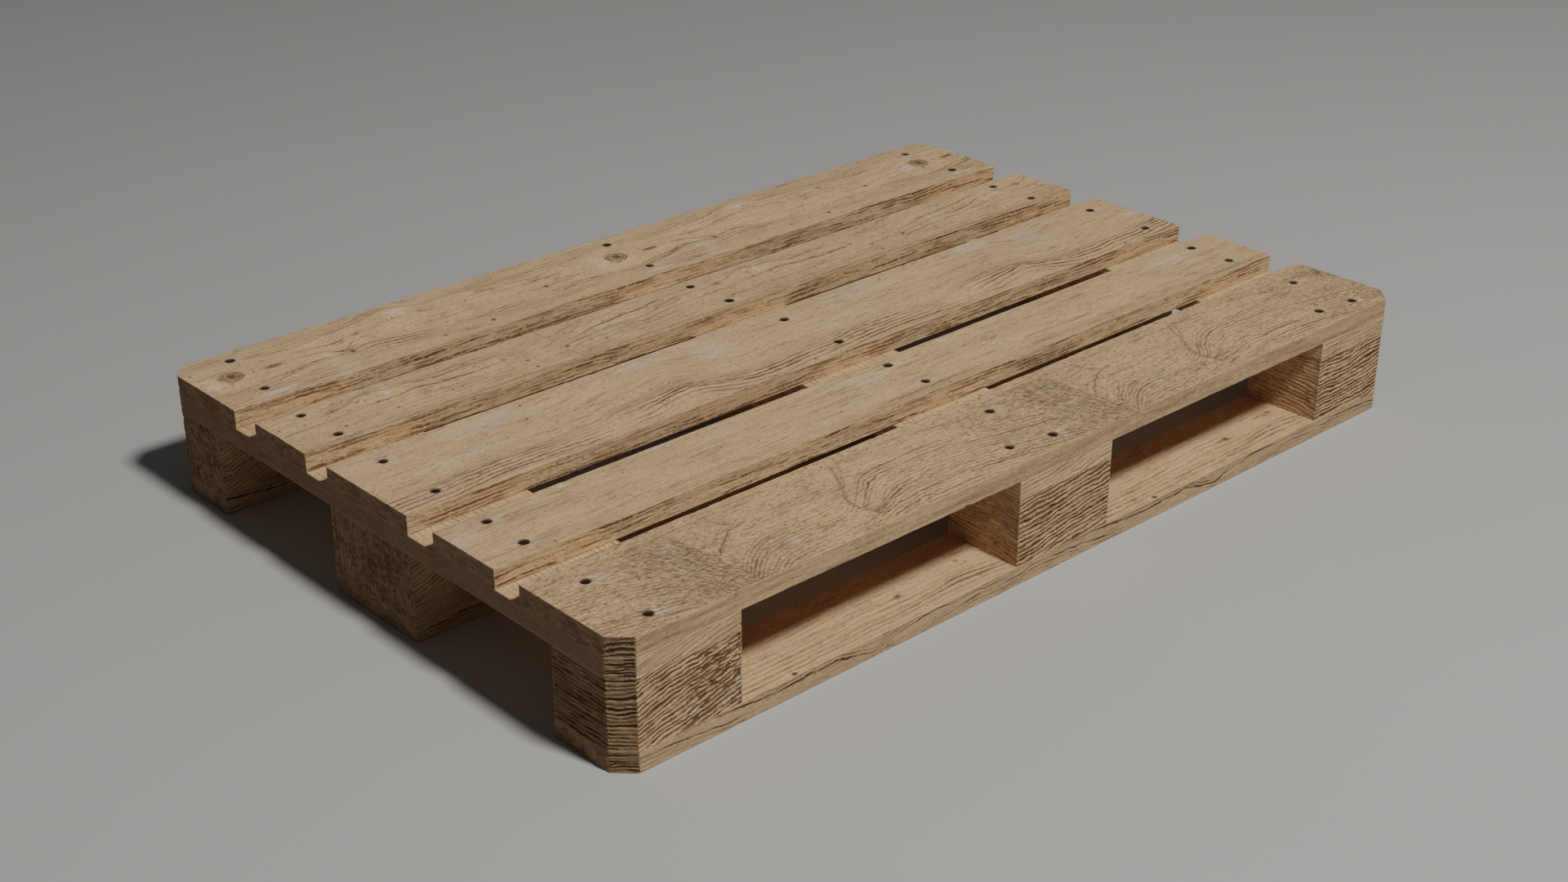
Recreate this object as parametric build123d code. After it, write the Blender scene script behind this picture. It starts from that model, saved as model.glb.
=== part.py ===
from build123d import *
import os

os.makedirs("parts", exist_ok=True)

# ---------------------------------------------------------------------------
# Flat four-way wooden pallet: deck boards on stringer boards, on blocks,
# on bottom boards, held together by nails.  Millimetres.
#
# Frame: +X along the 1200 length, +Y across the 800 width, +Z up.
# Origin: the middle of the footprint, on the floor.
# Words used in node names: front is -Y, rear is +Y, left is -X, right is +X.
# ---------------------------------------------------------------------------

# overall footprint
LENGTH = 1200.0
WIDTH = 800.0
CORNER_CHAMFER = 20.5          # upright bevel through every layer at the four corners

# layers, from the floor up
BOTTOM_T = 22.0                # bottom boards
BLOCK_H = 78.0                 # blocks
STRINGER_T = 22.0              # stringer boards
DECK_T = 22.0                  # deck boards

Z_BLOCK = BOTTOM_T
Z_STRINGER = Z_BLOCK + BLOCK_H
Z_DECK = Z_STRINGER + STRINGER_T
Z_TOP = Z_DECK + DECK_T        # 144

# deck boards: low and high Y edge of each
DECK_BOARDS = {
    "deck_board_front_outer": (-400.0, -255.0),
    "deck_board_front_inner": (-216.5, -116.5),
    "deck_board_middle": (-72.5, 72.5),
    "deck_board_rear_inner": (112.8, 212.8),
    "deck_board_rear_outer": (255.0, 400.0),
}

# stringer boards and block columns share these X centres
STRINGER_W = 145.0
COLUMN_X = {
    "left": -(LENGTH - STRINGER_W) / 2,
    "middle": 0.0,
    "right": (LENGTH - STRINGER_W) / 2,
}

# blocks
BLOCK_LEN = 145.0              # along X
EDGE_BLOCK_W = 100.0           # across Y, front and rear rows
MID_BLOCK_W = 145.0            # across Y, centre row
EDGE_ROW_Y = (WIDTH - EDGE_BLOCK_W) / 2

# bottom boards
EDGE_BOTTOM_W = 100.0
MID_BOTTOM_W = 145.0

# nails: flat round head on a cone, plain shank, cone point
HEAD_D = 9.0
HEAD_RIM = 0.9                 # straight side of the head
HEAD_CONE = 1.3                # taper below the rim, down to the shank
LONG_SHANK_D = 4.2
SHORT_SHANK_D = 3.4
POINT = 7.0
LONG_NAIL = 90.0               # deck board + stringer board + block
SHORT_NAIL = 40.0              # deck board + stringer board only
BOTTOM_NAIL = 70.0             # bottom board + block
TOP_SINK = 1.4                 # heads driven below the deck surface
BOTTOM_SINK = 0.8              # heads driven below the underside

# long nails from the deck into each block (X, Y)
TOP_BLOCK_NAILS = {
    "front_left": [(-545.1, -375.8)],
    "front_middle": [(1.3, -376.1), (-55.1, -366.3)],
    "front_right": [(545.2, -374.5), (488.6, -367.4)],
    "centre_left": [(-549.9, 44.2), (-548.2, -46.7)],
    "centre_middle": [(4.5, 42.5), (6.3, -48.2)],
    "centre_right": [(557.7, 43.6), (558.8, -48.6)],
    "rear_left": [(-536.0, 375.4)],
    "rear_middle": [(4.6, 376.5)],
    "rear_right": [(544.0, 374.4)],
}

# short nails from the deck into each stringer board, between the blocks (X, Y)
STRINGER_NAILS = {
    "left": [(-550.9, -292.0), (-547.5, -192.8), (-548.7, -134.4),
             (-548.7, 130.7), (-553.3, 196.4), (-545.3, 284.6)],
    "middle": [(-5.3, -293.2), (0.6, -191.7), (0.1, -133.8),
               (-4.2, 129.9), (-9.8, 195.8), (-1.1, 284.4)],
    "right": [(542.1, -292.5), (544.7, -193.5), (544.5, -134.7),
              (536.3, 129.3), (533.2, 195.5), (543.5, 282.1)],
}

# nails from below, offsets from each block's centre; y is outward on the edge rows
EDGE_BOTTOM_NAILS = [(-45.0, -22.0), (45.0, -22.0), (0.0, 4.0)]
MID_BOTTOM_NAILS = [(-45.0, 22.0), (45.0, 22.0), (0.0, -26.0)]


def prism(x0, x1, y0, y1, z0, z1):
    """Sawn piece of rectangular section, bevelled where it reaches a pallet corner."""
    pts = []
    for x, y, order in ((x0, y0, 0), (x1, y0, 1), (x1, y1, 0), (x0, y1, 1)):
        if abs(abs(x) - LENGTH / 2) < 1e-6 and abs(abs(y) - WIDTH / 2) < 1e-6:
            sx = 1 if x > 0 else -1
            sy = 1 if y > 0 else -1
            a = (x, y - sy * CORNER_CHAMFER)
            b = (x - sx * CORNER_CHAMFER, y)
            pts += [a, b] if order == 0 else [b, a]
        else:
            pts.append((x, y))
    outline = Pos(0, 0, z0) * make_face(Polyline(*pts, close=True))
    return extrude(outline, amount=z1 - z0)


def nail_profile(length, shank_d, top):
    """Half section from the head's face at z = 0 (or `top` above it) to the point."""
    r_head, r_shank = HEAD_D / 2, shank_d / 2
    return [
        (0, top), (r_head, top), (r_head, -HEAD_RIM),
        (r_shank, -HEAD_RIM - HEAD_CONE), (r_shank, -length + POINT), (0, -length),
    ]


def turned(profile):
    pts = [(r, 0, z) for r, z in profile]
    return revolve(make_face(Polyline(*pts, close=True)), axis=Axis.Z, revolution_arc=360)


class NailKind:
    """One nail and the hole it makes, both standing on their own axis, head up."""

    def __init__(self, length, shank_d, sink):
        self.length = length
        self.sink = sink
        self.body = turned(nail_profile(length, shank_d, 0.0))
        self.hole = turned(nail_profile(length, shank_d, sink + 4.0))


long_nail = NailKind(LONG_NAIL, LONG_SHANK_D, TOP_SINK)
short_nail = NailKind(SHORT_NAIL, SHORT_SHANK_D, TOP_SINK)
bottom_nail = NailKind(BOTTOM_NAIL, LONG_SHANK_D, BOTTOM_SINK)


def from_above(kind, x, y):
    return Pos(x, y, Z_TOP - kind.sink)


def from_below(kind, x, y):
    return Pos(x, y, kind.sink) * Rot(180, 0, 0)


# --- where every nail goes: node -> [(kind, location, x, y, z_low, z_high)] ---
nails = {}
for place, spots in TOP_BLOCK_NAILS.items():
    nails["nails_top_" + place] = [
        (long_nail, from_above(long_nail, x, y), x, y, Z_TOP - TOP_SINK - LONG_NAIL, Z_TOP)
        for x, y in spots]
for side, spots in STRINGER_NAILS.items():
    nails["nails_stringer_" + side] = [
        (short_nail, from_above(short_nail, x, y), x, y, Z_TOP - TOP_SINK - SHORT_NAIL, Z_TOP)
        for x, y in spots]

# --- blocks ---
pieces = {}
boxes = {}
for row, yc, width in (("front", -EDGE_ROW_Y, EDGE_BLOCK_W),
                       ("centre", 0.0, MID_BLOCK_W),
                       ("rear", EDGE_ROW_Y, EDGE_BLOCK_W)):
    for column, xc in COLUMN_X.items():
        place = row + "_" + column
        boxes["block_" + place] = (xc - BLOCK_LEN / 2, xc + BLOCK_LEN / 2,
                                   yc - width / 2, yc + width / 2,
                                   Z_BLOCK, Z_STRINGER)
        outward = {"front": -1, "centre": 1, "rear": 1}[row]
        pattern = MID_BOTTOM_NAILS if row == "centre" else EDGE_BOTTOM_NAILS
        spots = [(xc + dx, yc + outward * dy) for dx, dy in pattern]
        nails["nails_bottom_" + place] = [
            (bottom_nail, from_below(bottom_nail, x, y), x, y, 0.0, BOTTOM_SINK + BOTTOM_NAIL)
            for x, y in spots]

# --- boards ---
for name, (y0, y1) in DECK_BOARDS.items():
    boxes[name] = (-LENGTH / 2, LENGTH / 2, y0, y1, Z_DECK, Z_TOP)
for side, xc in COLUMN_X.items():
    boxes["stringer_board_" + side] = (xc - STRINGER_W / 2, xc + STRINGER_W / 2,
                                       -WIDTH / 2, WIDTH / 2, Z_STRINGER, Z_DECK)
boxes["bottom_board_front"] = (-LENGTH / 2, LENGTH / 2, -WIDTH / 2,
                               -WIDTH / 2 + EDGE_BOTTOM_W, 0.0, BOTTOM_T)
boxes["bottom_board_middle"] = (-LENGTH / 2, LENGTH / 2, -MID_BOTTOM_W / 2,
                                MID_BOTTOM_W / 2, 0.0, BOTTOM_T)
boxes["bottom_board_rear"] = (-LENGTH / 2, LENGTH / 2, WIDTH / 2 - EDGE_BOTTOM_W,
                              WIDTH / 2, 0.0, BOTTOM_T)

# --- wood, with the holes the nails have made in it ---
for name, (x0, x1, y0, y1, z0, z1) in boxes.items():
    solid = prism(x0, x1, y0, y1, z0, z1)
    cutters = []
    for group in nails.values():
        for kind, where, x, y, lo, hi in group:
            if x0 < x < x1 and y0 < y < y1 and lo < z1 and hi > z0:
                cutters.append(where * kind.hole)
    if cutters:
        solid = solid - cutters
    pieces[name] = solid

# --- nails, one group of separate solids for each joint ---
for name, group in nails.items():
    pieces[name] = Compound(children=[where * kind.body for kind, where, *_ in group])

WOOD = Color(0.72, 0.56, 0.36)
STEEL = Color(0.18, 0.15, 0.13)
for name, piece in pieces.items():
    solids = piece.solids()
    shape = solids[0] if len(solids) == 1 else Compound(children=list(solids))
    shape.label = name
    shape.color = STEEL if name.startswith("nails") else WOOD
    export_step(shape, "parts/" + name + ".step")
    print(name, len(solids), round(sum(s.volume for s in solids), 1))
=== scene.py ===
import math

import bpy
import numpy as np
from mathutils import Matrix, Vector


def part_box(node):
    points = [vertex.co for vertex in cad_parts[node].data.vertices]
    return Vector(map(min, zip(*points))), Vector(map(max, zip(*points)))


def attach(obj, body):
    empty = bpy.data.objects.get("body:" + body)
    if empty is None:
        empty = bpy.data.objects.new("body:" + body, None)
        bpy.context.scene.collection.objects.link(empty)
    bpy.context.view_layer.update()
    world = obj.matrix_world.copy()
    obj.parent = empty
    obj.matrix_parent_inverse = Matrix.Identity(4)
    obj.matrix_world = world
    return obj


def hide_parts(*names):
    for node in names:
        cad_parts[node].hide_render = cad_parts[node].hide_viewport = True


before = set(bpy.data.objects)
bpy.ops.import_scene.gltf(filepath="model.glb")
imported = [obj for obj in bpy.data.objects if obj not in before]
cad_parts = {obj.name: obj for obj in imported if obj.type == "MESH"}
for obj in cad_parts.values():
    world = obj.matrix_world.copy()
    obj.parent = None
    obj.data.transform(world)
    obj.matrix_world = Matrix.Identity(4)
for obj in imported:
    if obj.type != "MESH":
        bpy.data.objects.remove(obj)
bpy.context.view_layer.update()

MM = 0.001
BEVEL = 20.5        # upright bevel at the four pallet corners, mm
HALF_L, HALF_W = 600.0, 400.0
# which way a face of a piece looks
TOP, UNDER, NEAR, FAR, LEFT, RIGHT, HOLE, BEVELLED = range(8)


# ---------------------------------------------------------------------------
# Smooth repeatable noise
# ---------------------------------------------------------------------------

def _lattice(ix, iy, iz, seed):
    h = (ix.astype(np.uint32) * np.uint32(0x8DA6B343)
         ^ iy.astype(np.uint32) * np.uint32(0xD8163841)
         ^ iz.astype(np.uint32) * np.uint32(0xCB1AB31F)
         ^ np.uint32((seed * 2654435761 + 97) & 0xFFFFFFFF))
    h ^= h >> np.uint32(15)
    h *= np.uint32(0x2C1B3C6D)
    h ^= h >> np.uint32(12)
    h *= np.uint32(0x297A2D39)
    h ^= h >> np.uint32(15)
    return h.astype(np.float64) / 4294967296.0


def noise(x, y=0.0, z=0.0, seed=0):
    """Value noise, 0 to 1."""
    x, y, z = np.broadcast_arrays(np.asarray(x, float), np.asarray(y, float), np.asarray(z, float))
    fx, fy, fz = np.floor(x), np.floor(y), np.floor(z)
    ix, iy, iz = fx.astype(np.int64), fy.astype(np.int64), fz.astype(np.int64)
    u, v, w = x - fx, y - fy, z - fz
    u, v, w = (q * q * q * (q * (q * 6 - 15) + 10) for q in (u, v, w))
    out = 0.0
    for a in (0, 1):
        wa = u if a else 1 - u
        for b in (0, 1):
            wb = v if b else 1 - v
            for c in (0, 1):
                wc = w if c else 1 - w
                out = out + wa * wb * wc * _lattice(ix + a, iy + b, iz + c, seed)
    return out


def fbm(x, y=0.0, z=0.0, seed=0, octaves=3, gain=0.5):
    total, amp, scale = 0.0, 1.0, 1.0
    norm = 0.0
    for k in range(octaves):
        total = total + amp * noise(np.asarray(x) * scale + 11.3 * k, np.asarray(y) * scale + 5.1 * k,
                                    np.asarray(z) * scale + 7.7 * k, seed + 31 * k)
        norm += amp
        amp *= gain
        scale *= 2.03
    return total / norm


def step(lo, hi, x):
    t = np.clip((np.asarray(x, float) - lo) / (hi - lo), 0, 1)
    return t * t * (3 - 2 * t)


# ---------------------------------------------------------------------------
# Sawn pieces: one closed quad mesh each, with nail holes, worn edges and relief
# ---------------------------------------------------------------------------

def grid_lines(lo, hi, pitch, marks=()):
    """Grid lines from lo to hi about pitch apart, closer at the two edges, with one on each mark."""
    rim = [0.0, 0.45, 1.1, 2.0, 3.2]
    fixed = sorted({lo, hi, *[m for m in marks if lo < m < hi]})
    body = []
    for a, b in zip(fixed[:-1], fixed[1:]):
        n = max(1, int(round((b - a) / pitch)))
        body += [a + (b - a) * i / n for i in range(n)]
    body = [v for v in body if lo + rim[-1] + 0.5 * pitch < v < hi - rim[-1] - 0.5 * pitch]
    lines = sorted([lo + r for r in rim] + body + [hi - r for r in rim]
                   + [m for m in marks if lo < m < hi and m not in body])
    keep = [lines[0]]
    for v in lines[1:]:
        if v - keep[-1] > 0.2:
            keep.append(v)
    keep[-1] = hi
    return np.array(keep)


class Piece:
    """A sawn piece as rest points, outward normals and faces, all in mm in the row frame."""

    def __init__(self, box, pitch, nails):
        (x0, y0, z0), (x1, y1, z1) = box
        self.lo, self.hi = np.array([x0, y0, z0]), np.array([x1, y1, z1])
        corner_marks = [s * (HALF_W - BEVEL) for s in (-1, 1)]
        gx = grid_lines(x0, x1, pitch[0])
        gy = grid_lines(y0, y1, pitch[1], corner_marks)
        gz = grid_lines(z0, z1, pitch[2])
        nx, ny, nz = len(gx), len(gy), len(gz)
        I, J, K = np.meshgrid(range(nx), range(ny), range(nz), indexing="ij")
        skin = (I == 0) | (I == nx - 1) | (J == 0) | (J == ny - 1) | (K == 0) | (K == nz - 1)
        ids = -np.ones((nx, ny, nz), int)
        ids[skin] = np.arange(skin.sum())
        i, j, k = I[skin], J[skin], K[skin]
        points = [np.stack([gx[i], gy[j], gz[k]], 1)]
        side = np.stack([(i == nx - 1) * 1 - (i == 0) * 1,
                         (j == ny - 1) * 1 - (j == 0) * 1,
                         (k == nz - 1) * 1 - (k == 0) * 1], 1)
        sides = [side]
        count = len(side)

        cut_top = np.zeros((nx - 1, ny - 1), bool)
        cut_low = np.zeros((nx - 1, ny - 1), bool)
        extra_quads, extra_tris, quad_kind, tri_kind = [], [], [], []
        for spot in nails:
            x, y = spot["x"], spot["y"]
            ia, ib = np.searchsorted(gx, x - 8.5) - 1, np.searchsorted(gx, x + 8.5)
            ja, jb = np.searchsorted(gy, y - 8.5) - 1, np.searchsorted(gy, y + 8.5)
            loop = ([(a, ja) for a in range(ia, ib)] + [(ib, b) for b in range(ja, jb)]
                    + [(a, jb) for a in range(ib, ia, -1)] + [(ia, b) for b in range(jb, ja, -1)])
            m = len(loop)
            lx, ly = np.array([gx[a] for a, b in loop]), np.array([gy[b] for a, b in loop])
            ang = np.arctan2(ly - y, lx - x)
            rings = []      # vertex ids, from the entry face inwards and on to the exit face
            faces = []      # the outer face each ring lies on: 1 top, -1 underside, 0 down in the hole
            for kind, payload in spot["rings"](x, y, z0, z1):
                if kind == "face":
                    kk = nz - 1 if payload > 0 else 0
                    rings.append(np.array([ids[a, b, kk] for a, b in loop]))
                    faces.append(payload)
                    (cut_top if payload > 0 else cut_low)[ia:ib, ja:jb] = True
                elif kind == "tip":
                    points.append(np.array([[x, y, payload]]))
                    sides.append(np.zeros((1, 3), int))
                    rings.append(count)
                    faces.append(0)
                    count += 1
                else:
                    r, z, on_face = payload
                    rag = 1.0
                    if on_face:
                        rag = 1 + 0.16 * (noise(np.cos(ang) * 1.7 + x, np.sin(ang) * 1.7 + y, r, 5) - 0.35)
                    # stay inside the square of grid lines that the patch fills
                    reach = np.hypot(lx - x, ly - y) * 0.93
                    rr = np.minimum(r * rag, reach)
                    points.append(np.stack([x + rr * np.cos(ang), y + rr * np.sin(ang), np.full(m, z)], 1))
                    s = np.zeros((m, 3), int)
                    if on_face:
                        s[:, 2] = on_face
                    sides.append(s)
                    rings.append(np.arange(count, count + m))
                    faces.append(on_face)
                    count += m
            for outer, inner, fa, fb in zip(rings[:-1], rings[1:], faces[:-1], faces[1:]):
                kind = HOLE if fa * fb <= 0 else (TOP if fa > 0 else UNDER)
                if np.ndim(outer) == 0 or np.ndim(inner) == 0:
                    ring, tip = (inner, outer) if np.ndim(outer) == 0 else (outer, inner)
                    nxt = np.roll(ring, -1)
                    tri = np.stack([ring, nxt, np.full(m, tip)], 1)
                    extra_tris.append(tri[:, ::-1] if spot["down"] > 0 else tri)
                    tri_kind.append(np.full(len(tri), kind))
                else:
                    q = np.stack([outer, np.roll(outer, -1), np.roll(inner, -1), inner], 1)
                    extra_quads.append(q[:, ::-1] if spot["down"] > 0 else q)
                    quad_kind.append(np.full(len(q), kind))

        def quads(a, b, c, d, keep=None):
            q = np.stack([a.ravel(), b.ravel(), c.ravel(), d.ravel()], 1)
            return q if keep is None else q[keep.ravel()]

        f = []
        t = ids[:, :, nz - 1]
        f.append(quads(t[:-1, :-1], t[1:, :-1], t[1:, 1:], t[:-1, 1:], ~cut_top))
        t = ids[:, :, 0]
        f.append(quads(t[:-1, :-1], t[:-1, 1:], t[1:, 1:], t[1:, :-1], ~cut_low))
        t = ids[:, 0, :]
        f.append(quads(t[:-1, :-1], t[1:, :-1], t[1:, 1:], t[:-1, 1:]))
        t = ids[:, ny - 1, :]
        f.append(quads(t[:-1, :-1], t[:-1, 1:], t[1:, 1:], t[1:, :-1]))
        t = ids[0, :, :]
        f.append(quads(t[:-1, :-1], t[:-1, 1:], t[1:, 1:], t[1:, :-1]))
        t = ids[nx - 1, :, :]
        f.append(quads(t[:-1, :-1], t[1:, :-1], t[1:, 1:], t[:-1, 1:]))
        self.quads = np.concatenate(f + extra_quads)
        self.tris = np.concatenate(extra_tris) if extra_tris else np.zeros((0, 3), int)
        self.quad_kind = np.concatenate([np.full(len(q), kind) for q, kind
                                         in zip(f, (TOP, UNDER, NEAR, FAR, LEFT, RIGHT))] + quad_kind)
        self.tri_kind = np.concatenate(tri_kind) if tri_kind else np.zeros(0, int)
        self.P = np.concatenate(points)
        self.side = np.concatenate(sides).astype(float)
        self._compact()
        self.N = self.side.copy()
        self._bevel_corners()

    def _compact(self):
        """Drops the grid points that the nail patches replaced."""
        used = np.zeros(len(self.P), bool)
        used[self.quads.ravel()] = True
        used[self.tris.ravel()] = True
        new = np.cumsum(used) - 1
        self.P, self.side = self.P[used], self.side[used]
        self.quads, self.tris = new[self.quads], new[self.tris]

    def _bevel_corners(self):
        """Slides the ends of the outermost rows back to the upright bevel at each pallet corner."""
        self.on_bevel = np.zeros(len(self.P), bool)
        start = 557.0
        for sx in (-1, 1):
            for sy in (-1, 1):
                edge_x = self.hi[0] if sx > 0 else self.lo[0]
                edge_y = self.hi[1] if sy > 0 else self.lo[1]
                if abs(edge_x) < HALF_L - 1 or abs(edge_y) < HALF_W - 1:
                    continue
                x, y = self.P[:, 0] * sx, self.P[:, 1] * sy
                over = y - (HALF_W - BEVEL)
                move = (over > 1e-6) & (x > start)
                limit = HALF_L - over
                slid = start + (x - start) * (limit - start) / (HALF_L - start)
                at_end = move & (self.side[:, 0] == sx)
                self.P[move, 0] = sx * slid[move]
                self.on_bevel |= at_end
                self.N[at_end, 0] = sx * 0.7071
                self.N[at_end, 1] += sy * 0.7071
        middle = self.P[self.quads].mean(1)
        ends = (self.quad_kind == LEFT) | (self.quad_kind == RIGHT)
        self.quad_kind[ends & (np.abs(middle[:, 1]) > HALF_W - BEVEL) & (np.abs(middle[:, 0]) > HALF_L - 30)] = BEVELLED

    def edge_distance(self):
        """For each point, how far it is from the nearest arris of the faces it lies on."""
        d = np.full(len(self.P), 1e9)
        a = np.minimum(self.P - self.lo, self.hi - self.P)
        # in the bevelled corners x is short of the box by the bevel, so measure it on the box
        for ax in range(3):
            free = self.side[:, ax] == 0
            others = (self.side != 0).any(1)
            d = np.where(free & others, np.minimum(d, a[:, ax]), d)
        return d

    def on(self, axis, sign):
        return self.side[:, axis] == sign


def nail_hole(x, y, top, head_z, head_r, shank_r, tip_z, down):
    """The hole a nail makes through a piece, as rings from the face the nail enters to where it leaves or ends.
    down is -1 for a nail driven downwards and +1 for one driven up from below."""
    entry_face = -down

    def rings(x, y, z0, z1):
        out = []
        z_in, z_out = (z1, z0) if down < 0 else (z0, z1)
        ends_inside = (tip_z - z_out) * down < 0
        if top:
            out.append(("face", entry_face))
            out.append(("ring", (7.2, z_in, entry_face)))
            out.append(("ring", (6.0, z_in, entry_face)))
            out.append(("ring", (5.25, z_in + down * 0.12, entry_face)))
            out.append(("ring", (4.75, z_in + down * 0.55, 0)))
            out.append(("ring", (4.6, head_z + down * 0.9, 0)))
            out.append(("ring", (shank_r + 0.15, head_z + down * 2.35, 0)))
        else:
            out.append(("face", entry_face))
            out.append(("ring", (5.0, z_in, entry_face)))
            out.append(("ring", (shank_r + 0.15, z_in, entry_face)))
        if ends_inside:
            out.append(("ring", (shank_r + 0.15, tip_z - down * 7.0, 0)))
            out.append(("tip", tip_z + down * 0.2))
        else:
            out.append(("ring", (shank_r + 0.15, z_out, -entry_face)))
            out.append(("ring", (5.0, z_out, -entry_face)))
            out.append(("face", -entry_face))
        return out

    return {"x": x, "y": y, "rings": rings, "down": down, "head": top}


# ---------------------------------------------------------------------------
# Where the nails are, read from the CAD nail nodes
# ---------------------------------------------------------------------------

def loose_parts(obj):
    """Boxes of the separate solids in a CAD node, in mm."""
    n = len(obj.data.vertices)
    co = np.zeros(n * 3)
    obj.data.vertices.foreach_get("co", co)
    co = co.reshape(-1, 3) * 1000
    # nails are upright and well apart, so points gather about their own axis
    groups = []
    for p in co:
        for g in groups:
            if abs(p[0] - g[0]) < 6 and abs(p[1] - g[1]) < 6:
                g[2].append(p)
                break
        else:
            groups.append([p[0], p[1], [p]])
    out = []
    for g in groups:
        q = np.array(g[2])
        out.append((q.min(0), q.max(0)))
    return out


nails = []
for name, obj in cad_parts.items():
    if not name.startswith("nails_"):
        continue
    verts = len(obj.data.vertices)
    co = np.zeros(verts * 3)
    obj.data.vertices.foreach_get("co", co)
    co = co.reshape(-1, 3) * 1000
    low_z, high_z = co[:, 2].min(), co[:, 2].max()
    down = 1 if low_z < 10 else -1
    head_z = low_z if down > 0 else high_z
    tip_z = high_z if down > 0 else low_z
    tips = co[np.abs(co[:, 2] - tip_z) < 0.05][:, :2]
    axes = []
    for p in tips:
        if not any(np.hypot(*(p - q)) < 3 for q in axes):
            axes.append(p)
    shank = 1.7 if name.startswith("nails_stringer") else 2.1
    for p in axes:
        nails.append({"x": float(p[0]), "y": float(p[1]), "down": down, "head": float(head_z),
                      "tip": float(tip_z), "shank": shank, "node": name})


def nails_through(box):
    (x0, y0, z0), (x1, y1, z1) = box
    out = []
    for n in nails:
        if not (x0 < n["x"] < x1 and y0 < n["y"] < y1):
            continue
        lo, hi = sorted((n["head"], n["tip"]))
        if lo > z1 - 0.5 or hi < z0 + 0.5:
            continue
        top = (n["down"] < 0 and z0 < n["head"] <= z1) or (n["down"] > 0 and z0 <= n["head"] < z1)
        out.append(nail_hole(n["x"], n["y"], top, n["head"], 4.5, n["shank"], n["tip"], n["down"]))
    return out


# ---------------------------------------------------------------------------
# What each piece of timber is like
# ---------------------------------------------------------------------------
PERIOD = 544.0      # sawn from alike lengths: the strongest figures come back along a board


def wrapped(x):
    return -HALF_L + np.mod(x + HALF_L, PERIOD)


def repeats(x, y, r, dark, stretch=1.25, ringy=1.0, n=3):
    """A knot and its likenesses further along the board: (x, y, radius, darkness, stretch, ringiness)."""
    return [(x + k * PERIOD, y, r, dark, stretch, ringy) for k in range(n) if x + k * PERIOD < HALF_L - 6]


def smooth_table(points):
    """Knots (x, value, ...) over one period, rounded off and joined end to end."""
    grid = np.arange(-HALF_L, -HALF_L + PERIOD + 0.5, 2.0)
    pts = np.array(points, float)
    kernel = np.exp(-(np.arange(-9, 10) * 2.0 / 6.0) ** 2)
    kernel /= kernel.sum()
    out = []
    for column in pts.T[1:]:
        v = np.interp(grid, pts[:, 0], column)
        out.append(np.convolve(np.concatenate([v[-10:-1], v, v[1:10]]), kernel, mode="valid"))
    return grid, out


def traced(curves, beyond, faint):
    """Growth lines that follow drawn curves, each (line number, [(x, y, strength), ...]) from high y to low."""
    tables = [(number, *smooth_table(points)) for number, points in curves]

    def field(x, y):
        xw = wrapped(x)
        Y = [np.interp(xw, grid, cols[0]) for _, grid, cols in tables]
        S = [np.interp(xw, grid, cols[1]) for _, grid, cols in tables]
        numbers = [n for n, _, _ in tables]
        phase = numbers[0] - (y - Y[0]) / beyond
        late = faint + (S[0] - faint) * np.exp(-np.clip(y - Y[0], 0, None) / 5.0)
        for k in range(len(Y) - 1):
            gap = np.clip(Y[k] - Y[k + 1], 0.8, None)
            f = (Y[k] - y) / gap
            inside = y <= Y[k]
            phase = np.where(inside, numbers[k] + f * (numbers[k + 1] - numbers[k]), phase)
            late = np.where(inside, S[k] + np.clip(f, 0, 1) * (S[k + 1] - S[k]), late)
        below = y <= Y[-1]
        phase = np.where(below, numbers[-1] + (Y[-1] - y) / beyond, phase)
        late = np.where(below, faint + (S[-1] - faint) * np.exp(-np.clip(Y[-1] - y, 0, None) / 5.0), late)
        return phase, late
    return field


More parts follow.
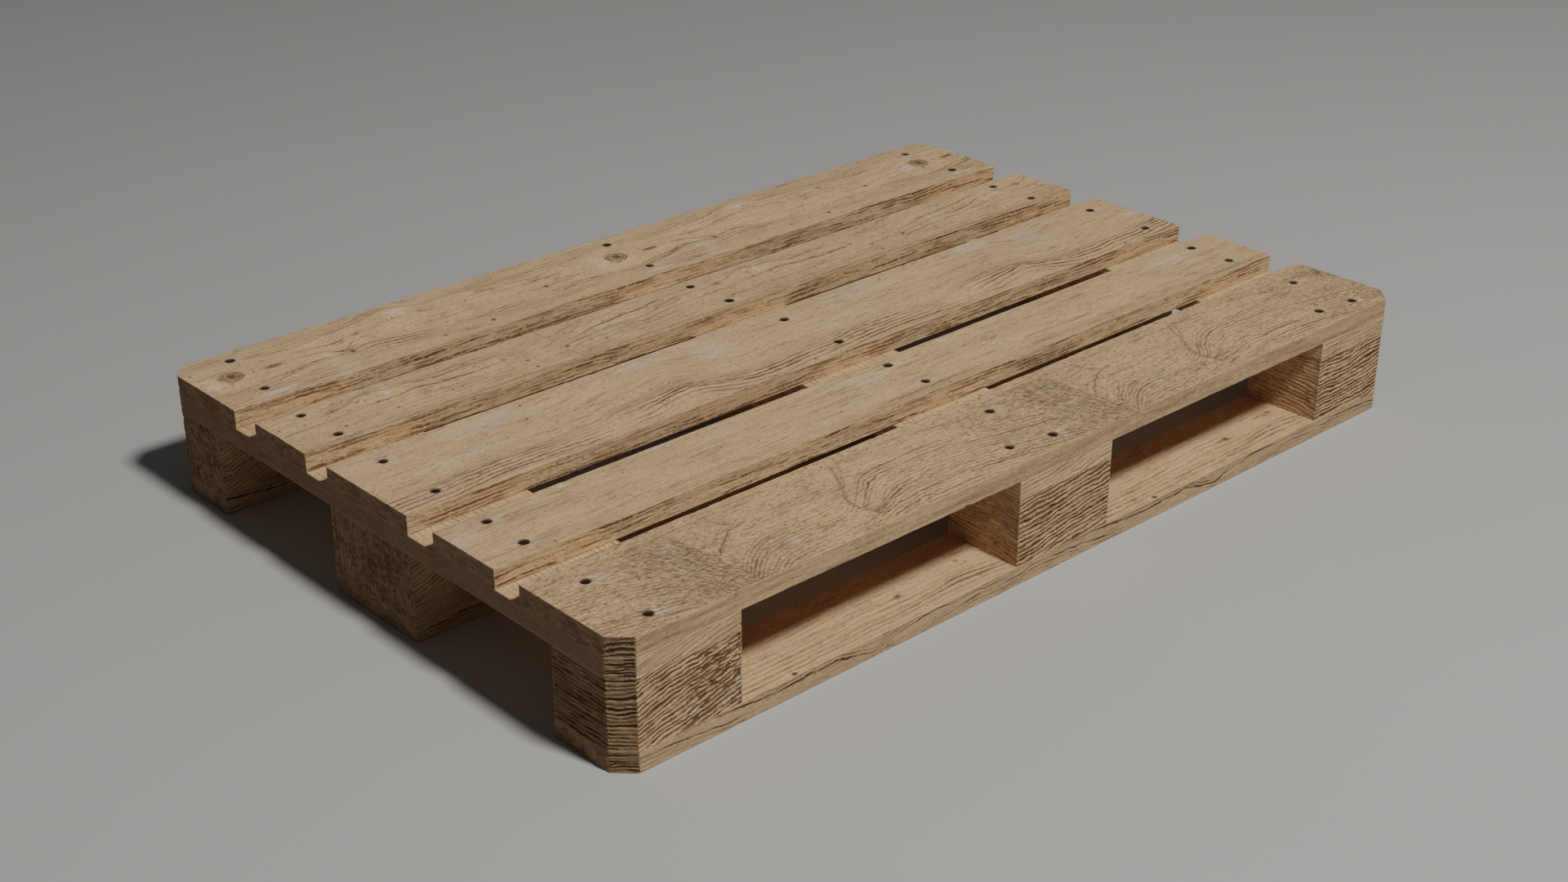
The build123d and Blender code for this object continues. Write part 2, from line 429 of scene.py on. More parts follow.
rear_outer_lines = traced([
    (0, [(-600, 379, .35), (-540, 380, .4), (-500, 378, .5), (-440, 378, .5), (-400, 383, .55), (-380, 388, .6),
         (-350, 394, .6), (-325, 397, .2), (-300, 379, .05), (-280, 377, .25), (-200, 373, .45), (-160, 373, .55),
         (-120, 375, .6), (-80, 378, .55), (-56, 379, .4)]),
    (2, [(-600, 369, .15), (-540, 367, .3), (-500, 364, .55), (-480, 361, .65), (-460, 360, .7), (-440, 363, .65),
         (-420, 367, .6), (-400, 370, .6), (-380, 374, .65), (-360, 380, .7), (-335, 388, .6), (-315, 388, .1),
         (-290, 371, .05), (-220, 368, .3), (-180, 366, .5), (-120, 361, .6), (-80, 361, .5), (-56, 366, .2)]),
    (4, [(-600, 336, .05), (-480, 334, .1), (-470, 331, .6), (-460, 328, .7), (-450, 327, .7), (-440, 321, .8),
         (-430, 314, .9), (-420, 310, .9), (-408, 312, .2), (-380, 320, .1), (-300, 318, .06), (-220, 318, .1),
         (-180, 316, .4), (-150, 315, .45), (-136, 316, .5), (-120, 318, .08), (-56, 330, .05)]),
    (5, [(-600, 296, .5), (-575, 292, .75), (-560, 293, .7), (-545, 297, .7), (-530, 301, .65), (-516, 303, .5),
         (-500, 302, .85), (-488, 305, .95), (-475, 309, 1.0), (-462, 310, 1.0), (-450, 309, .9), (-432, 306, .8),
         (-418, 304, .9), (-405, 310, .85), (-395, 313, .95), (-380, 312, .95), (-360, 307, 1.0), (-340, 302, 1.0),
         (-320, 298, .75), (-300, 297, .25), (-260, 297, .45), (-200, 297, .6), (-150, 299, .6), (-120, 301, .65),
         (-95, 302, .8), (-78, 300, .9), (-66, 296, .75), (-56, 295, .5)]),
    (6, [(-600, 290, .55), (-560, 289, .65), (-540, 291, .8), (-520, 293, .9), (-500, 297, .95), (-488, 301, .8),
         (-475, 305, .7), (-450, 304, .6), (-430, 301, .55), (-418, 299, .7), (-405, 301, .8), (-390, 304, .9),
         (-375, 302, 1.0), (-355, 298, 1.0), (-335, 294, .95), (-318, 291, .6), (-300, 290, .2), (-200, 289, .45),
         (-150, 290, .5), (-110, 294, .6), (-80, 294, .65), (-56, 289, .55)]),
    (7, [(-600, 283, .45), (-540, 283, .4), (-520, 285, .45), (-480, 288, .4), (-440, 291, .45), (-410, 293, .5),
         (-385, 296, .7), (-365, 292, .85), (-340, 288, .7), (-315, 285, .3), (-200, 282, .45), (-120, 283, .5),
         (-80, 284, .5), (-56, 282, .45)]),
    (9, [(-600, 271, .2), (-550, 272, .5), (-530, 273, .75), (-510, 273, .8), (-480, 271, .7), (-455, 270, .5),
         (-430, 272, .15), (-380, 276, .3), (-340, 274, .25), (-200, 272, .2), (-56, 270, .2)]),
    (10, [(-600, 265, .2), (-530, 266, .4), (-505, 266, .95), (-480, 266, 1.0), (-460, 265, .8), (-440, 264, .1),
          (-56, 262, .1)]),
], 6.5, 0.16)

rear_inner_lines_a = traced([
    (0, [(-600, 205, .15), (-500, 207, .15), (-420, 200, .2), (-380, 198, .35), (-350, 200, .4), (-330, 202, .5),
         (-310, 196, .2), (-235, 198, .2), (-56, 200, .2)]),
    (2, [(-600, 177, .5), (-580, 181, .6), (-560, 182, .6), (-540, 179, .55), (-520, 183, .75), (-503, 186, .6),
         (-493, 195, .7), (-480, 198, .8), (-468, 199, .75), (-455, 193, .7), (-440, 191, .7), (-420, 191, .75),
         (-405, 186, .8), (-390, 183, .9), (-375, 185, .9), (-360, 186, .85), (-345, 187, .8), (-330, 183, .7),
         (-310, 181, .4), (-290, 178, .3), (-270, 181, .5), (-250, 184, .6), (-236, 189, .5), (-200, 189, .1),
         (-56, 178, .1)]),
    (3, [(-600, 159, .45), (-580, 163, .55), (-560, 163, .45), (-520, 164, .5), (-490, 167, .5), (-470, 168, .7),
         (-450, 170, .7), (-430, 175, .85), (-410, 173, .9), (-395, 168, .9), (-380, 167, .85), (-360, 165, .95),
         (-345, 164, 1.0), (-330, 167, .8), (-318, 164, .6), (-300, 168, .3), (-260, 167, .5), (-245, 170, .8),
         (-232, 168, .2), (-56, 160, .1)]),
    (4, [(-600, 151, .2), (-500, 153, .3), (-400, 153, .3), (-330, 151, .35), (-240, 152, .4), (-56, 151, .2)]),
    (5, [(-600, 142, .3), (-540, 142, .4), (-465, 143, .6), (-400, 142, .6), (-385, 143, .7), (-330, 141, .6),
         (-240, 141, .4), (-56, 142, .3)]),
    (6, [(-600, 133, .3), (-500, 134, .45), (-400, 134, .5), (-330, 133, .5), (-240, 133, .4), (-56, 133, .3)]),
    (7, [(-600, 126, .25), (-500, 126, .4), (-400, 126, .35), (-330, 127, .35), (-56, 126, .3)]),
    (8, [(-600, 118, .35), (-500, 119, .5), (-400, 118, .5), (-330, 118, .55), (-56, 118, .4)]),
], 8.0, 0.2)

rear_inner_lines_b = traced([
    (0, [(-600, 210, .2), (-235, 178, .2), (-200, 187, .3), (-160, 196, .3), (-110, 201, .35), (-56, 208, .2)]),
    (1, [(-600, 190, .2), (-235, 160, .5), (-220, 165, .6), (-200, 170, .65), (-180, 176, .8), (-160, 178, .85),
         (-140, 180, .85), (-120, 184, .7), (-108, 181, .9), (-95, 184, .8), (-80, 187, .85), (-56, 190, .6)]),
    (2, [(-600, 178, .2), (-240, 150, .5), (-232, 153, .9), (-215, 157, .8), (-200, 160, .6), (-180, 163, .55),
         (-160, 165, .6), (-140, 166, .55), (-120, 163, .7), (-108, 165, .8), (-90, 169, .8), (-70, 176, .85),
         (-56, 178, .7)]),
    (3, [(-600, 162, .2), (-235, 143, .4), (-215, 148, .8), (-180, 151, .65), (-150, 152, .6), (-120, 150, .5),
         (-90, 158, .7), (-56, 161, .6)]),
    (4, [(-600, 150, .2), (-235, 134, .3), (-200, 140, .5), (-150, 142, .4), (-100, 143, .5), (-56, 150, .4)]),
    (5, [(-600, 140, .2), (-235, 126, .3), (-200, 132, .4), (-150, 134, .5), (-100, 135, .5), (-56, 141, .4)]),
    (6, [(-600, 126, .2), (-235, 118, .3), (-150, 125, .4), (-100, 127, .4), (-56, 130, .3)]),
    (7, [(-600, 118, .2), (-235, 112, .3), (-150, 117, .5), (-100, 118, .5), (-56, 119, .4)]),
], 8.0, 0.2)

middle_lines = traced([
    (0, [(-600, -22, .2), (-500, -22, .2), (-400, -24, .08), (-330, -22, .1), (-300, -14, .35), (-250, -12, .45),
         (-210, -5, .5), (-196, -5, .5), (-180, -14, .4), (-150, -27, .25), (-100, -32, .15), (-56, -24, .2)]),
    (3, [(-600, -40, .7), (-540, -39, .75), (-500, -35, .95), (-430, -35, .85), (-380, -38, .4), (-330, -36, .35),
         (-300, -25, .7), (-260, -24, .8), (-220, -20, .8), (-200, -18, .85), (-180, -29, .75), (-150, -40, .7),
         (-120, -45, .8), (-90, -45, .85), (-56, -40, .75)]),
    (5, [(-600, -55, 1.0), (-560, -54, 1.0), (-520, -50, .95), (-480, -48, .9), (-440, -47, .9), (-400, -48, .8),
         (-360, -50, .6), (-330, -50, .4), (-290, -45, .5), (-270, -41, .9), (-250, -36, .95), (-230, -32, 1.0),
         (-208, -29, 1.1), (-198, -28, 1.1), (-190, -33, 1.1), (-178, -40, 1.1), (-165, -46, 1.1),
         (-148, -51, 1.1), (-130, -57, 1.1), (-110, -59, 1.1), (-80, -59, 1.1), (-56, -55, 1.05)]),
    (7, [(-600, -72, .5), (-540, -69, .8), (-510, -65, .95), (-480, -62, 1.05), (-450, -61, 1.1), (-420, -62, 1.1),
         (-400, -63, 1.0), (-360, -66, .9), (-320, -66, .4), (-290, -61, .6), (-278, -62, .9), (-262, -59, .7),
         (-220, -50, .15), (-192, -52, .8), (-178, -60, 1.05), (-160, -67, 1.05), (-140, -74, .7), (-100, -80, .4),
         (-56, -73, .4)]),
], 5.0, 0.08)

bottom_side_lines = traced([
    (1, [(-600, 21, .3), (-560, 21, .2), (-500, 20.5, .7), (-480, 19.5, .9), (-455, 17.5, 1.0), (-440, 16.5, 1.0),
         (-420, 14.5, 1.0), (-400, 14, .9), (-385, 15, 1.0), (-370, 17, 1.1), (-352, 16, 1.1), (-335, 18, 1.0),
         (-320, 14, 1.1), (-305, 10, 1.0), (-295, 9, 1.1), (-285, 6, 1.0), (-275, 6.5, 1.0), (-266, 10, .9),
         (-255, 13, .5), (-230, 15, .5), (-215, 18, .9), (-190, 19, .8), (-160, 17, .3), (-130, 18, .8),
         (-118, 15, .9), (-108, 17, 1.0), (-90, 16, .4), (-56, 20, .3)]),
    (2, [(-600, 16, 1.0), (-560, 14, 1.0), (-540, 13.5, 1.0), (-520, 12, .9), (-500, 9, .9), (-480, 7, 1.0),
         (-466, 5.5, 1.0), (-455, 7, .8), (-440, 5, .3), (-300, 3, .4), (-280, 2, .5), (-262, 4, .4),
         (-200, 6, .3), (-165, 7, .6), (-150, 10, .8), (-130, 12, .8), (-100, 9, .5), (-80, 11, .8), (-62, 11, 1.0),
         (-56, 12, 1.0)]),
], 4.5, 0.25)

bottom_top_lines = traced([
    (0, [(-600, -362, .3), (-440, -364, .4), (-400, -364, .7), (-350, -363, .6), (-300, -360, .4), (-250, -357, .6),
         (-210, -359, .9), (-190, -362, .3), (-56, -361, .3)]),
    (2, [(-600, -378, .5), (-400, -377, .7), (-300, -377, .6), (-220, -377, .6), (-180, -376, .8), (-140, -371, 1.0),
         (-110, -374, 1.0), (-85, -380, .9), (-56, -380, .5)]),
    (3, [(-600, -385, .5), (-400, -384, .8), (-300, -383, .7), (-220, -383, .7), (-150, -379, .9), (-110, -382, .9),
         (-56, -387, .5)]),
    (4, [(-600, -393, .5), (-400, -391, .8), (-300, -390, .6), (-220, -390, .6), (-150, -387, .8), (-56, -394, .5)]),
], 7.0, 0.3)


def wobble(x, y, z, seed, big=1.2, small=0.55):
    return (big * 2 * (noise(x / 34, y / 17, z / 17, seed + 60) - 0.5)
            + small * 2 * (noise(x / 10, y / 6, z / 6, seed + 61) - 0.5))


def figure_rear_outer(x, y):
    return rear_outer_lines(x, y + wobble(x, y, 0, 1, 0.9, 0.5))


def figure_rear_inner(x, y):
    y = y + wobble(x, y, 0, 2, 1.2, 1.3)
    pa, la = rear_inner_lines_a(x, y)
    pb, lb = rear_inner_lines_b(x, y)
    xw = wrapped(x)
    right = (xw > -236)
    quiet = step(0, 7, np.abs(xw + 236)) * step(0, 4, np.abs(xw + HALF_L)) * step(0, 4, np.abs(xw + 56))
    return np.where(right, pb, pa), np.where(right, lb, la) * quiet


def figure_middle(x, y):
    return middle_lines(x, y + wobble(x, y, 0, 3, 1.0, 0.8))


def figure_front_inner(x, y):
    yy = y + wobble(x, y, 0, 4, 0.7, 0.25) + 0.010 * (x + 600) + 2.2 * (noise(x / 170, y / 60, 0, 71) - 0.5)
    streak = np.exp(-((yy + 197.0) / 3.6) ** 2) * (0.45 + 0.55 * step(-430, -560, wrapped(x)))
    late = 0.34 + 0.26 * noise(x / 160, y / 9, 0, 8) + 0.5 * streak
    return -yy / 4.3, late


# how far the growth lines of the front outer board have dropped, mm, along its two sets of nested arcs
right_drop = np.array([(-290, 70), (-262, 46), (-250, 35), (-240, 24), (-220, 9), (-200, 2), (-180, 0), (-140, 0),
                       (-120, 1), (-100, 2.5), (-80, 6), (-60, 10), (-40, 14), (-20, 19), (14, 25), (34, 30), (44, 36),
                       (54, 50), (64, 70), (80, 102), (100, 146), (124, 205)], float)
left_drop = np.array([(-450, 58), (-430, 38), (-420, 27), (-410, 19), (-400, 12), (-390, 5), (-375, 1), (-360, 0),
                      (-310, 1), (-290, 0), (-278, -3), (-262, -12), (-240, -26)], float)


def stroke(x, y, points, width):
    """How strongly a drawn stroke marks each point, 0 to 1."""
    best = np.full(np.shape(x), 1e9)
    for (ax, ay), (bx, by) in zip(points[:-1], points[1:]):
        f = np.clip(((x - ax) * (bx - ax) + (y - ay) * (by - ay)) / ((bx - ax) ** 2 + (by - ay) ** 2), 0, 1)
        best = np.minimum(best, np.hypot(x - ax - f * (bx - ax), y - ay - f * (by - ay)))
    return np.exp(-(best / width) ** 2)


def figure_front_outer(x, y):
    yy = y + wobble(x, y, 0, 5, 0.9, 0.9)
    xx = x + wobble(y, x, 0, 6, 1.1, 0.6)
    xw = wrapped(xx)
    in_right = xw > -262 + 0.72 * np.clip(yy + 340, 0, None) + 0.22 * np.clip(-358 - yy, 0, None)
    in_left = (xw > -432 - 0.10 * (yy + 360)) & ~in_right
    xr = np.where(in_right, xw, xw + PERIOD)
    fall = np.interp(xr, right_drop[:, 0], right_drop[:, 1])
    low = step(-352, -385, yy)
    fall = np.where(in_right & (xr < -180), fall * (1 - 0.72 * low), fall)
    right = -(yy + fall) / 6.1
    flat = yy + np.interp(xw, left_drop[:, 0], left_drop[:, 1])
    left = -flat / 5.5 + 40
    late_left = np.where(flat < -331, 0.42 + 0.50 * fbm(x / 34, flat / 7.0, 0, 6, 2), 0.12)
    late_left = late_left * (1 - 0.35 * step(-372, -330, xw))
    late_left = np.where((np.abs(flat + 303) < 2.9) & (xw < -362), 0.85, late_left)
    late_right = 0.30 + 0.66 * noise(x / 70, (yy + fall) / 7.0, 0, 6)
    late_right = np.where((yy + fall > -300), 0.30, late_right)
    late_right = np.where(xr > 46, 0.55, late_right)
    phase = np.where(in_left, left, right)
    late = np.where(in_left, late_left, late_right)
    # a plain strip along the far edge
    strip = step(-275, -270, yy)
    return phase * (1 - strip) + (-yy / 4.2 + 40) * strip, late * (1 - strip) + 0.28 * strip


def edge_lines(x, z, seed, spacing, sway=1.0):
    zz = z + sway * wobble(x * 0.6, z, 0, seed, 1.3, 0.35)
    return -zz / spacing


def ridges(h, v, seed, tilt, pitch=4.7, deep=1.0, torn=None, turn=0.0, run=19.0, sway=4.2):
    """Weather-opened grain: near-level ledges, each undercut at its foot, with slits opened between them.
    Gives the ledge number, how open the slit is, the depth cut in mm, the deepest pits, which are painted dark as
    shade, and the pale crumbs, which are painted highlights."""
    if turn:
        a = math.radians(turn)
        h, v = h * math.cos(a) + v * math.sin(a), v * math.cos(a) - h * math.sin(a)
    flow = v - tilt * h + sway * (fbm(h / 46, v / 30, 0, seed, 2) - 0.5) * 2 + 1.5 * (noise(h / 11, v / 7, 0, seed + 1) - 0.5)
    flow = flow + 1.6 * (noise(h / 70, flow / 9.0, 0, seed + 8) - 0.5)
    phase = flow / pitch
    number = np.round(phase)
    u = phase - number
    layer = np.floor(phase)
    length = fbm(h / run + 5.7 * number, number * 1.37 + 0.5, 0, seed + 2, 2)
    slit = step(0.45, 0.66, length)
    groove = np.exp(-(u / (0.17 + 0.10 * slit)) ** 2)
    rise = 0.25 + 0.95 * noise(h / 24 + 3.1 * layer, layer * 0.77, 0, seed + 4)
    ledge = np.clip((phase - layer) / 0.92, 0, 1)
    depth = deep * (1.30 * rise * ledge + (0.35 + 1.15 * slit) * groove + 0.30 * fbm(h / 6, v / 2.6, 0, seed + 5, 2))
    if torn is not None:
        a = h * 0.9 + v * 0.42
        b = v * 0.9 - h * 0.42
        crumb = fbm(a / 8, b / 3.9, 0, seed + 7, 3)
        pits = step(0.48, 0.32, crumb)
        depth = depth * (1 - 0.6 * torn) + torn * deep * (2.5 * pits + 1.1 * fbm(h / 4.2, v / 2.6, 0, seed + 9, 2))
        slit = slit * (1 - 0.75 * torn)
        return phase, slit, depth, step(0.40, 0.32, crumb) * torn, step(0.57, 0.66, crumb) * torn
    return phase, slit, depth, np.zeros_like(depth), np.zeros_like(depth)


RIDGED = {      # row of blocks -> seed, lean of the ridges, how deep they are
    "front_left": (301, 0.21, 1.0), "front_middle": (302, 0.10, 1.0), "front_right": (303, 0.05, 0.62),
}


def stepped(node, kind):
    """Which ridged pattern the face of a piece carries, shared by the pieces stacked at one corner."""
    if kind == BEVELLED:
        return (310, -0.07, 1.25)
    column = node.split("_")[-1]
    if kind == NEAR:
        return RIDGED.get("front_" + column, (304, 0.1, 0.8))
    if kind == FAR:
        return (330 + len(column), -0.12, 0.85)
    return (340 + len(node), 0.08, 0.8)


TIMBER = {
    "deck_board_rear_outer": dict(
        figure=figure_rear_outer, seed=1, tint=(1.0, 0.985, 0.985), dash=0.22,
        knots=repeats(-557.5, 335.4, 12, 0.95, 1.05, 1.0) + repeats(-507, 330.5, 4.6, 0.75, 2.8, 0.0)
        + repeats(-419, 306.0, 4.2, 1.0, 0.8, 0.3) + repeats(-137.7, 315.8, 3.6, 1.0, 1.0, 0.1, 2)
        + repeats(-192, 353, 5.0, 0.35, 1.2, 0.5, 2) + repeats(-247, 273, 3.3, 1.0, 1.0, 0.0, 2)
        + repeats(-314.6, 273, 2.8, 0.7, 1.0, 0.0, 2) + repeats(-566, 318, 3.5, 0.4, 1.0, 0.0),
        pale=[(-537, 268, 22, 4.5, 0.9), (-455, 262, 26, 7, 0.35), (-585, 328, 10, 22, 0.35), (-320, 374, 18, 9, 0.4),
              (-448, 300, 9, 40, 0.22)]),
    "deck_board_rear_inner": dict(
        figure=figure_rear_inner, seed=2, tint=(0.985, 0.965, 0.94), dash=0.50,
        knots=repeats(-524, 182, 5.0, 0.55, 1.3, 0.4) + repeats(-532, 141, 2.0, 0.9, 0.9, 0.0)
        + repeats(-473, 170, 2.6, 0.8, 0.7, 0.0) + repeats(-465, 143, 2.0, 0.85, 0.9, 0.0)
        + repeats(-396, 142, 2.2, 0.9, 0.8, 0.0, 2) + repeats(-288, 150, 2.6, 0.8, 0.9, 0.0, 2)
        + repeats(-290, 129, 3.0, 0.7, 0.9, 0.0, 2) + repeats(-308, 170, 3.0, 0.6, 1.1, 0.2, 2)
        + repeats(-231, 152, 3.4, 0.8, 1.2, 0.0, 2) + repeats(-183, 140, 3.4, 0.6, 0.8, 0.4, 2),
        pale=[(-455, 186, 4, 6, 1.0), (-450, 200, 5, 10, 0.35), (-150, 172, 24, 5, 0.4), (-480, 205, 9, 6, 0.4)]),
    "deck_board_middle": dict(
        figure=figure_middle, seed=3, tint=(0.97, 0.945, 0.95), dash=0.30,
        knots=repeats(-367, 58, 2.0, 1.0, 1.0, 0.0, 2) + repeats(-382, 26, 2.0, 0.8, 1.0, 0.0, 2)
        + repeats(-47, -66, 3.2, 0.9, 0.6, 0.0, 2) + repeats(-493, -46, 2.6, 0.6, 1.0, 0.3),
        pale=[(-200, 58, 30, 14, 0.35), (-420, 50, 60, 20, 0.25), (-120, 30, 30, 25, 0.25), (-480, -2, 60, 9, 0.25)]),
    "deck_board_front_inner": dict(
        figure=figure_front_inner, seed=4, tint=(1.02, 1.01, 1.005), dash=0.12,
        knots=repeats(-524, -211, 2.6, 0.9, 0.45, 0.0) + repeats(-249, -180, 3.0, 0.35, 0.5, 0.0, 2)
        + repeats(-318, -172, 2.4, 0.3, 0.5, 0.0, 2),
        pale=[(-450, -124, 5, 6, 1.0), (-590, -150, 22, 14, 0.35), (-330, -118, 40, 5, 0.3), (-60, -140, 40, 10, 0.3)]),
    "deck_board_front_outer": dict(
        figure=figure_front_outer, seed=5, tint=(0.97, 0.925, 0.90), dash=0.72,
        knots=[],
        pale=[(-536, -292, 7, 8, 0.5), (-533, -376, 7, 9, 0.7), (-355, -365, 5, 10, 0.7), (-460, -300, 18, 16, 0.35),
              (-470, -345, 14, 14, 0.25)]),
    "stringer_board_left": dict(seed=11, tint=(1.0, 0.99, 0.97), dash=0.3, across=-700, spacing=6.0, base=0.5,
                                knots=[(-560, -95, 7, 0.7, 0.8, 0.8), (-500, 236, 6, 0.6, 0.8, 0.8)]),
    "stringer_board_middle": dict(seed=12, tint=(1.0, 0.98, 0.95), dash=0.3, across=120, spacing=7.0, base=0.5,
                                  knots=[(20, 92, 8, 0.7, 0.8, 0.8), (-30, -238, 6, 0.6, 0.8, 0.8)]),
    "stringer_board_right": dict(seed=13, tint=(1.01, 1.0, 0.98), dash=0.3, across=700, spacing=6.5, base=0.5,
                                 knots=[(520, -96, 7, 0.7, 0.8, 0.8), (560, 90, 6, 0.6, 0.8, 0.8)]),
    "bottom_board_front": dict(seed=21, tint=(0.94, 0.92, 0.90), dash=0.12, across=-620, spacing=7.0, base=0.5,
                               knots=repeats(-207, -358, 3.6, 1.0, 1.2, 0.2, 2) + repeats(-385, -396, 3.2, 1.0, 1.3, 0.0)
                               + repeats(-110, -346, 3.0, 0.6, 1.2, 0.2, 2)),
    "bottom_board_middle": dict(seed=22, tint=(1.0, 0.99, 0.97), dash=0.3, across=40, spacing=8.0, base=0.5,
                                knots=[(-300, 30, 9, 0.8, 1.2, 1.0), (160, -28, 7, 0.7, 1.2, 1.0)]),
    "bottom_board_rear": dict(seed=23, tint=(1.0, 0.98, 0.96), dash=0.3, across=620, spacing=7.5, base=0.5,
                              knots=[(-210, 352, 8, 0.8, 1.2, 1.0), (340, 340, 6, 0.7, 1.2, 1.0)]),
}
for index, (row, column) in enumerate([(r, c) for r in ("front", "centre", "rear")
                                       for c in ("left", "middle", "right")]):
    TIMBER[f"block_{row}_{column}"] = dict(seed=40 + index, tint=(0.90, 0.885, 0.87), dash=0.4, knots=[])


def describe(node, spec, kind, P, N, piece):
    """Everything the wood shader needs to know at points P on the faces of one kind, and the relief there in mm."""
    x, y, z = P.T
    n = len(P)
    seed = spec["seed"]
    block, stringer = node.startswith("block"), node.startswith("stringer")
    bottom, deck = node.startswith("bottom"), node.startswith("deck")
    one = np.ones(n)
    slit, cavity_shade, end = 0 * one, 0 * one, 0 * one
    dash, dark, pale, lean = spec["dash"] * one, 0 * one, 0 * one, 0 * one
    spacing = None
    knots = spec["knots"] if kind in (TOP, UNDER) else []
    knot = np.tile([900.0, 900.0, 5.0], (n, 1))
    knot_kind = np.zeros((n, 3))
    warm = 0.0
    s, t, w = (y, x, z) if stringer else (x, y, z)
    relief = 0.10 * fbm(s / 55, t / 7, w / 7, seed + 9, 3) + 0.10 * fbm(s / 240, t / 120, w / 60, seed + 10, 2)
    tt = t
    if knots:
        best = np.full(n, 1e9)
        for kx, ky, r, k_dark, stretch, ringy in knots:
            ds, dt = (y - ky, x - kx) if stringer else (x - kx, y - ky)
            if r > 5 or not deck:
                tt = tt - 1.0 * r * dt / np.sqrt(dt ** 2 + (0.8 * r) ** 2) * np.exp(-(ds / (2.6 * r)) ** 2) \
                    * np.exp(-(dt / (2.6 * r)) ** 2)
            near = np.hypot(ds / stretch, dt) / r < best
            best = np.where(near, np.hypot(ds / stretch, dt) / r, best)
            knot[near] = np.stack([ds / stretch, dt, np.full(n, r)], 1)[near]
            knot_kind[near] = (k_dark, ringy, 0)

    def slope(f, a, b):
        """Phase and strength of a figure, with the distance in mm from one line to the next."""
        phase, late = f(a, b)
        ga = f(a + 0.7, b)[0] - phase
        gb = f(a, b + 0.7)[0] - phase
        steep = np.hypot(np.where(np.abs(ga) > 2, 0, ga), np.where(np.abs(gb) > 2, 0, gb)) / 0.7
        return phase, late, np.clip(1 / np.clip(steep, 1e-3, None), 1.2, 14.0)

    rough_end = stringer and kind in (NEAR, FAR)
    if kind == HOLE:
        ring, late, spacing = z / 4.0, 0.2 * one, 4 * one
        # the walls of the nail holes are darkened in colour: painted shade down the holes
        dark = 0.75 * one
        across = z
    elif kind == BEVELLED or rough_end or (block and kind in (NEAR, FAR, LEFT, RIGHT)):
        h = {NEAR: x, FAR: x, LEFT: y, RIGHT: y, BEVELLED: y * 1.41421}[kind]
        key, tilt, deep = stepped(node, kind)
        torn, turn, pitch, run, sway, pitted = None, 0.0, 4.9, 19.0, 4.2, False
        if kind == NEAR and node.endswith("_left"):
            torn = step(-534, -504, x - 0.35 * (z - 60)) * step(16, 34, z) * step(108, 92, z)
            torn = torn * step(0.24, 0.46, fbm(x / 24, z / 18, 0, 77, 2) + 0.12)
        if kind == LEFT and x.min() < -590:
            # the blocks are turned in their row: level grain, upright grain, slanting grain
            turn = {"front": 0.0, "centre": 84.0, "rear": 38.0}.get(node.split("_")[1], 0.0)
            if "front" in node:
                tilt, sway = 0.0, 1.8
            key, deep = 350 + len(node.split("_")[1]), 1.0
            pitted = block and "front" not in node
        if kind == BEVELLED:
            pitch, run, sway = 4.3, 38.0, 8.0
        if kind == NEAR and node.endswith("_middle"):
            pitch = 5.2
        ring, slit, depth, pits, crumb_highlights = ridges(h, z, key, tilt, pitch, deep, torn, turn, run, sway)
        # the pale crumbs are painted highlights
        pale = 0.7 * crumb_highlights
        soft = 1.0 if block or kind == BEVELLED else 0.75
        relief = relief + soft * depth
        spacing = pitch * one
        late = 0.62 + 0.40 * noise(h / 30, z / 20, 0, seed)
        slit = slit * (1.0 if kind != BEVELLED else 1.15)
        # the deepest pits darkened in colour: painted shade
        cavity_shade = 0.95 * pits
        across = ring * pitch
        s, w = h, (y if kind in (NEAR, FAR) else x)
        dash = 0.45 * one
        if kind in (LEFT, RIGHT) and np.abs(x).min() > 590:
            slit = slit * 0.45
        if pitted:
            # end grain broken out in small pits, their hollows darkened in colour as painted shade
            broken_out = fbm(h / 4.6, z / 4.2, 0, seed + 17, 3) + 0.10 * (noise(h / 30, z / 30, 0, seed + 16) - 0.5)
            cavity_shade = 0.58 * step(0.45, 0.31, broken_out)
            relief = 0.4 * relief + 1.0 * step(0.48, 0.34, broken_out)
            slit, late = 0 * one, late - 0.25
        if kind == BEVELLED:
            dark, late, slit = 0.75 * one, late + 0.60, np.clip(slit * 1.5, 0, 1.3)
        elif kind in (LEFT, RIGHT) and np.abs(x).min() < 590:
            # faces inside the fork openings
            slit, relief, late, dash = 0.12 * slit, 0.5 * relief, late - 0.25, 0.85 * one
            dark = 0.34 * step(0.50, 0.72, fbm(h / 16, z / 9, 0, seed + 18, 3))
        elif kind in (NEAR, FAR) and "front" not in node:
            # sheltered faces under the deck: smoother, browner
            slit, relief, late = 0.3 * slit, 0.5 * relief, late - 0.15
            dark = 0.30 * step(0.42, 0.66, fbm(h / 30, z / 12, 0, seed + 18, 2))
        else:
            late = late + 0.35
        if deck and kind == BEVELLED:
            relief = relief * 0.7
    elif kind in (LEFT, RIGHT) and not stringer:
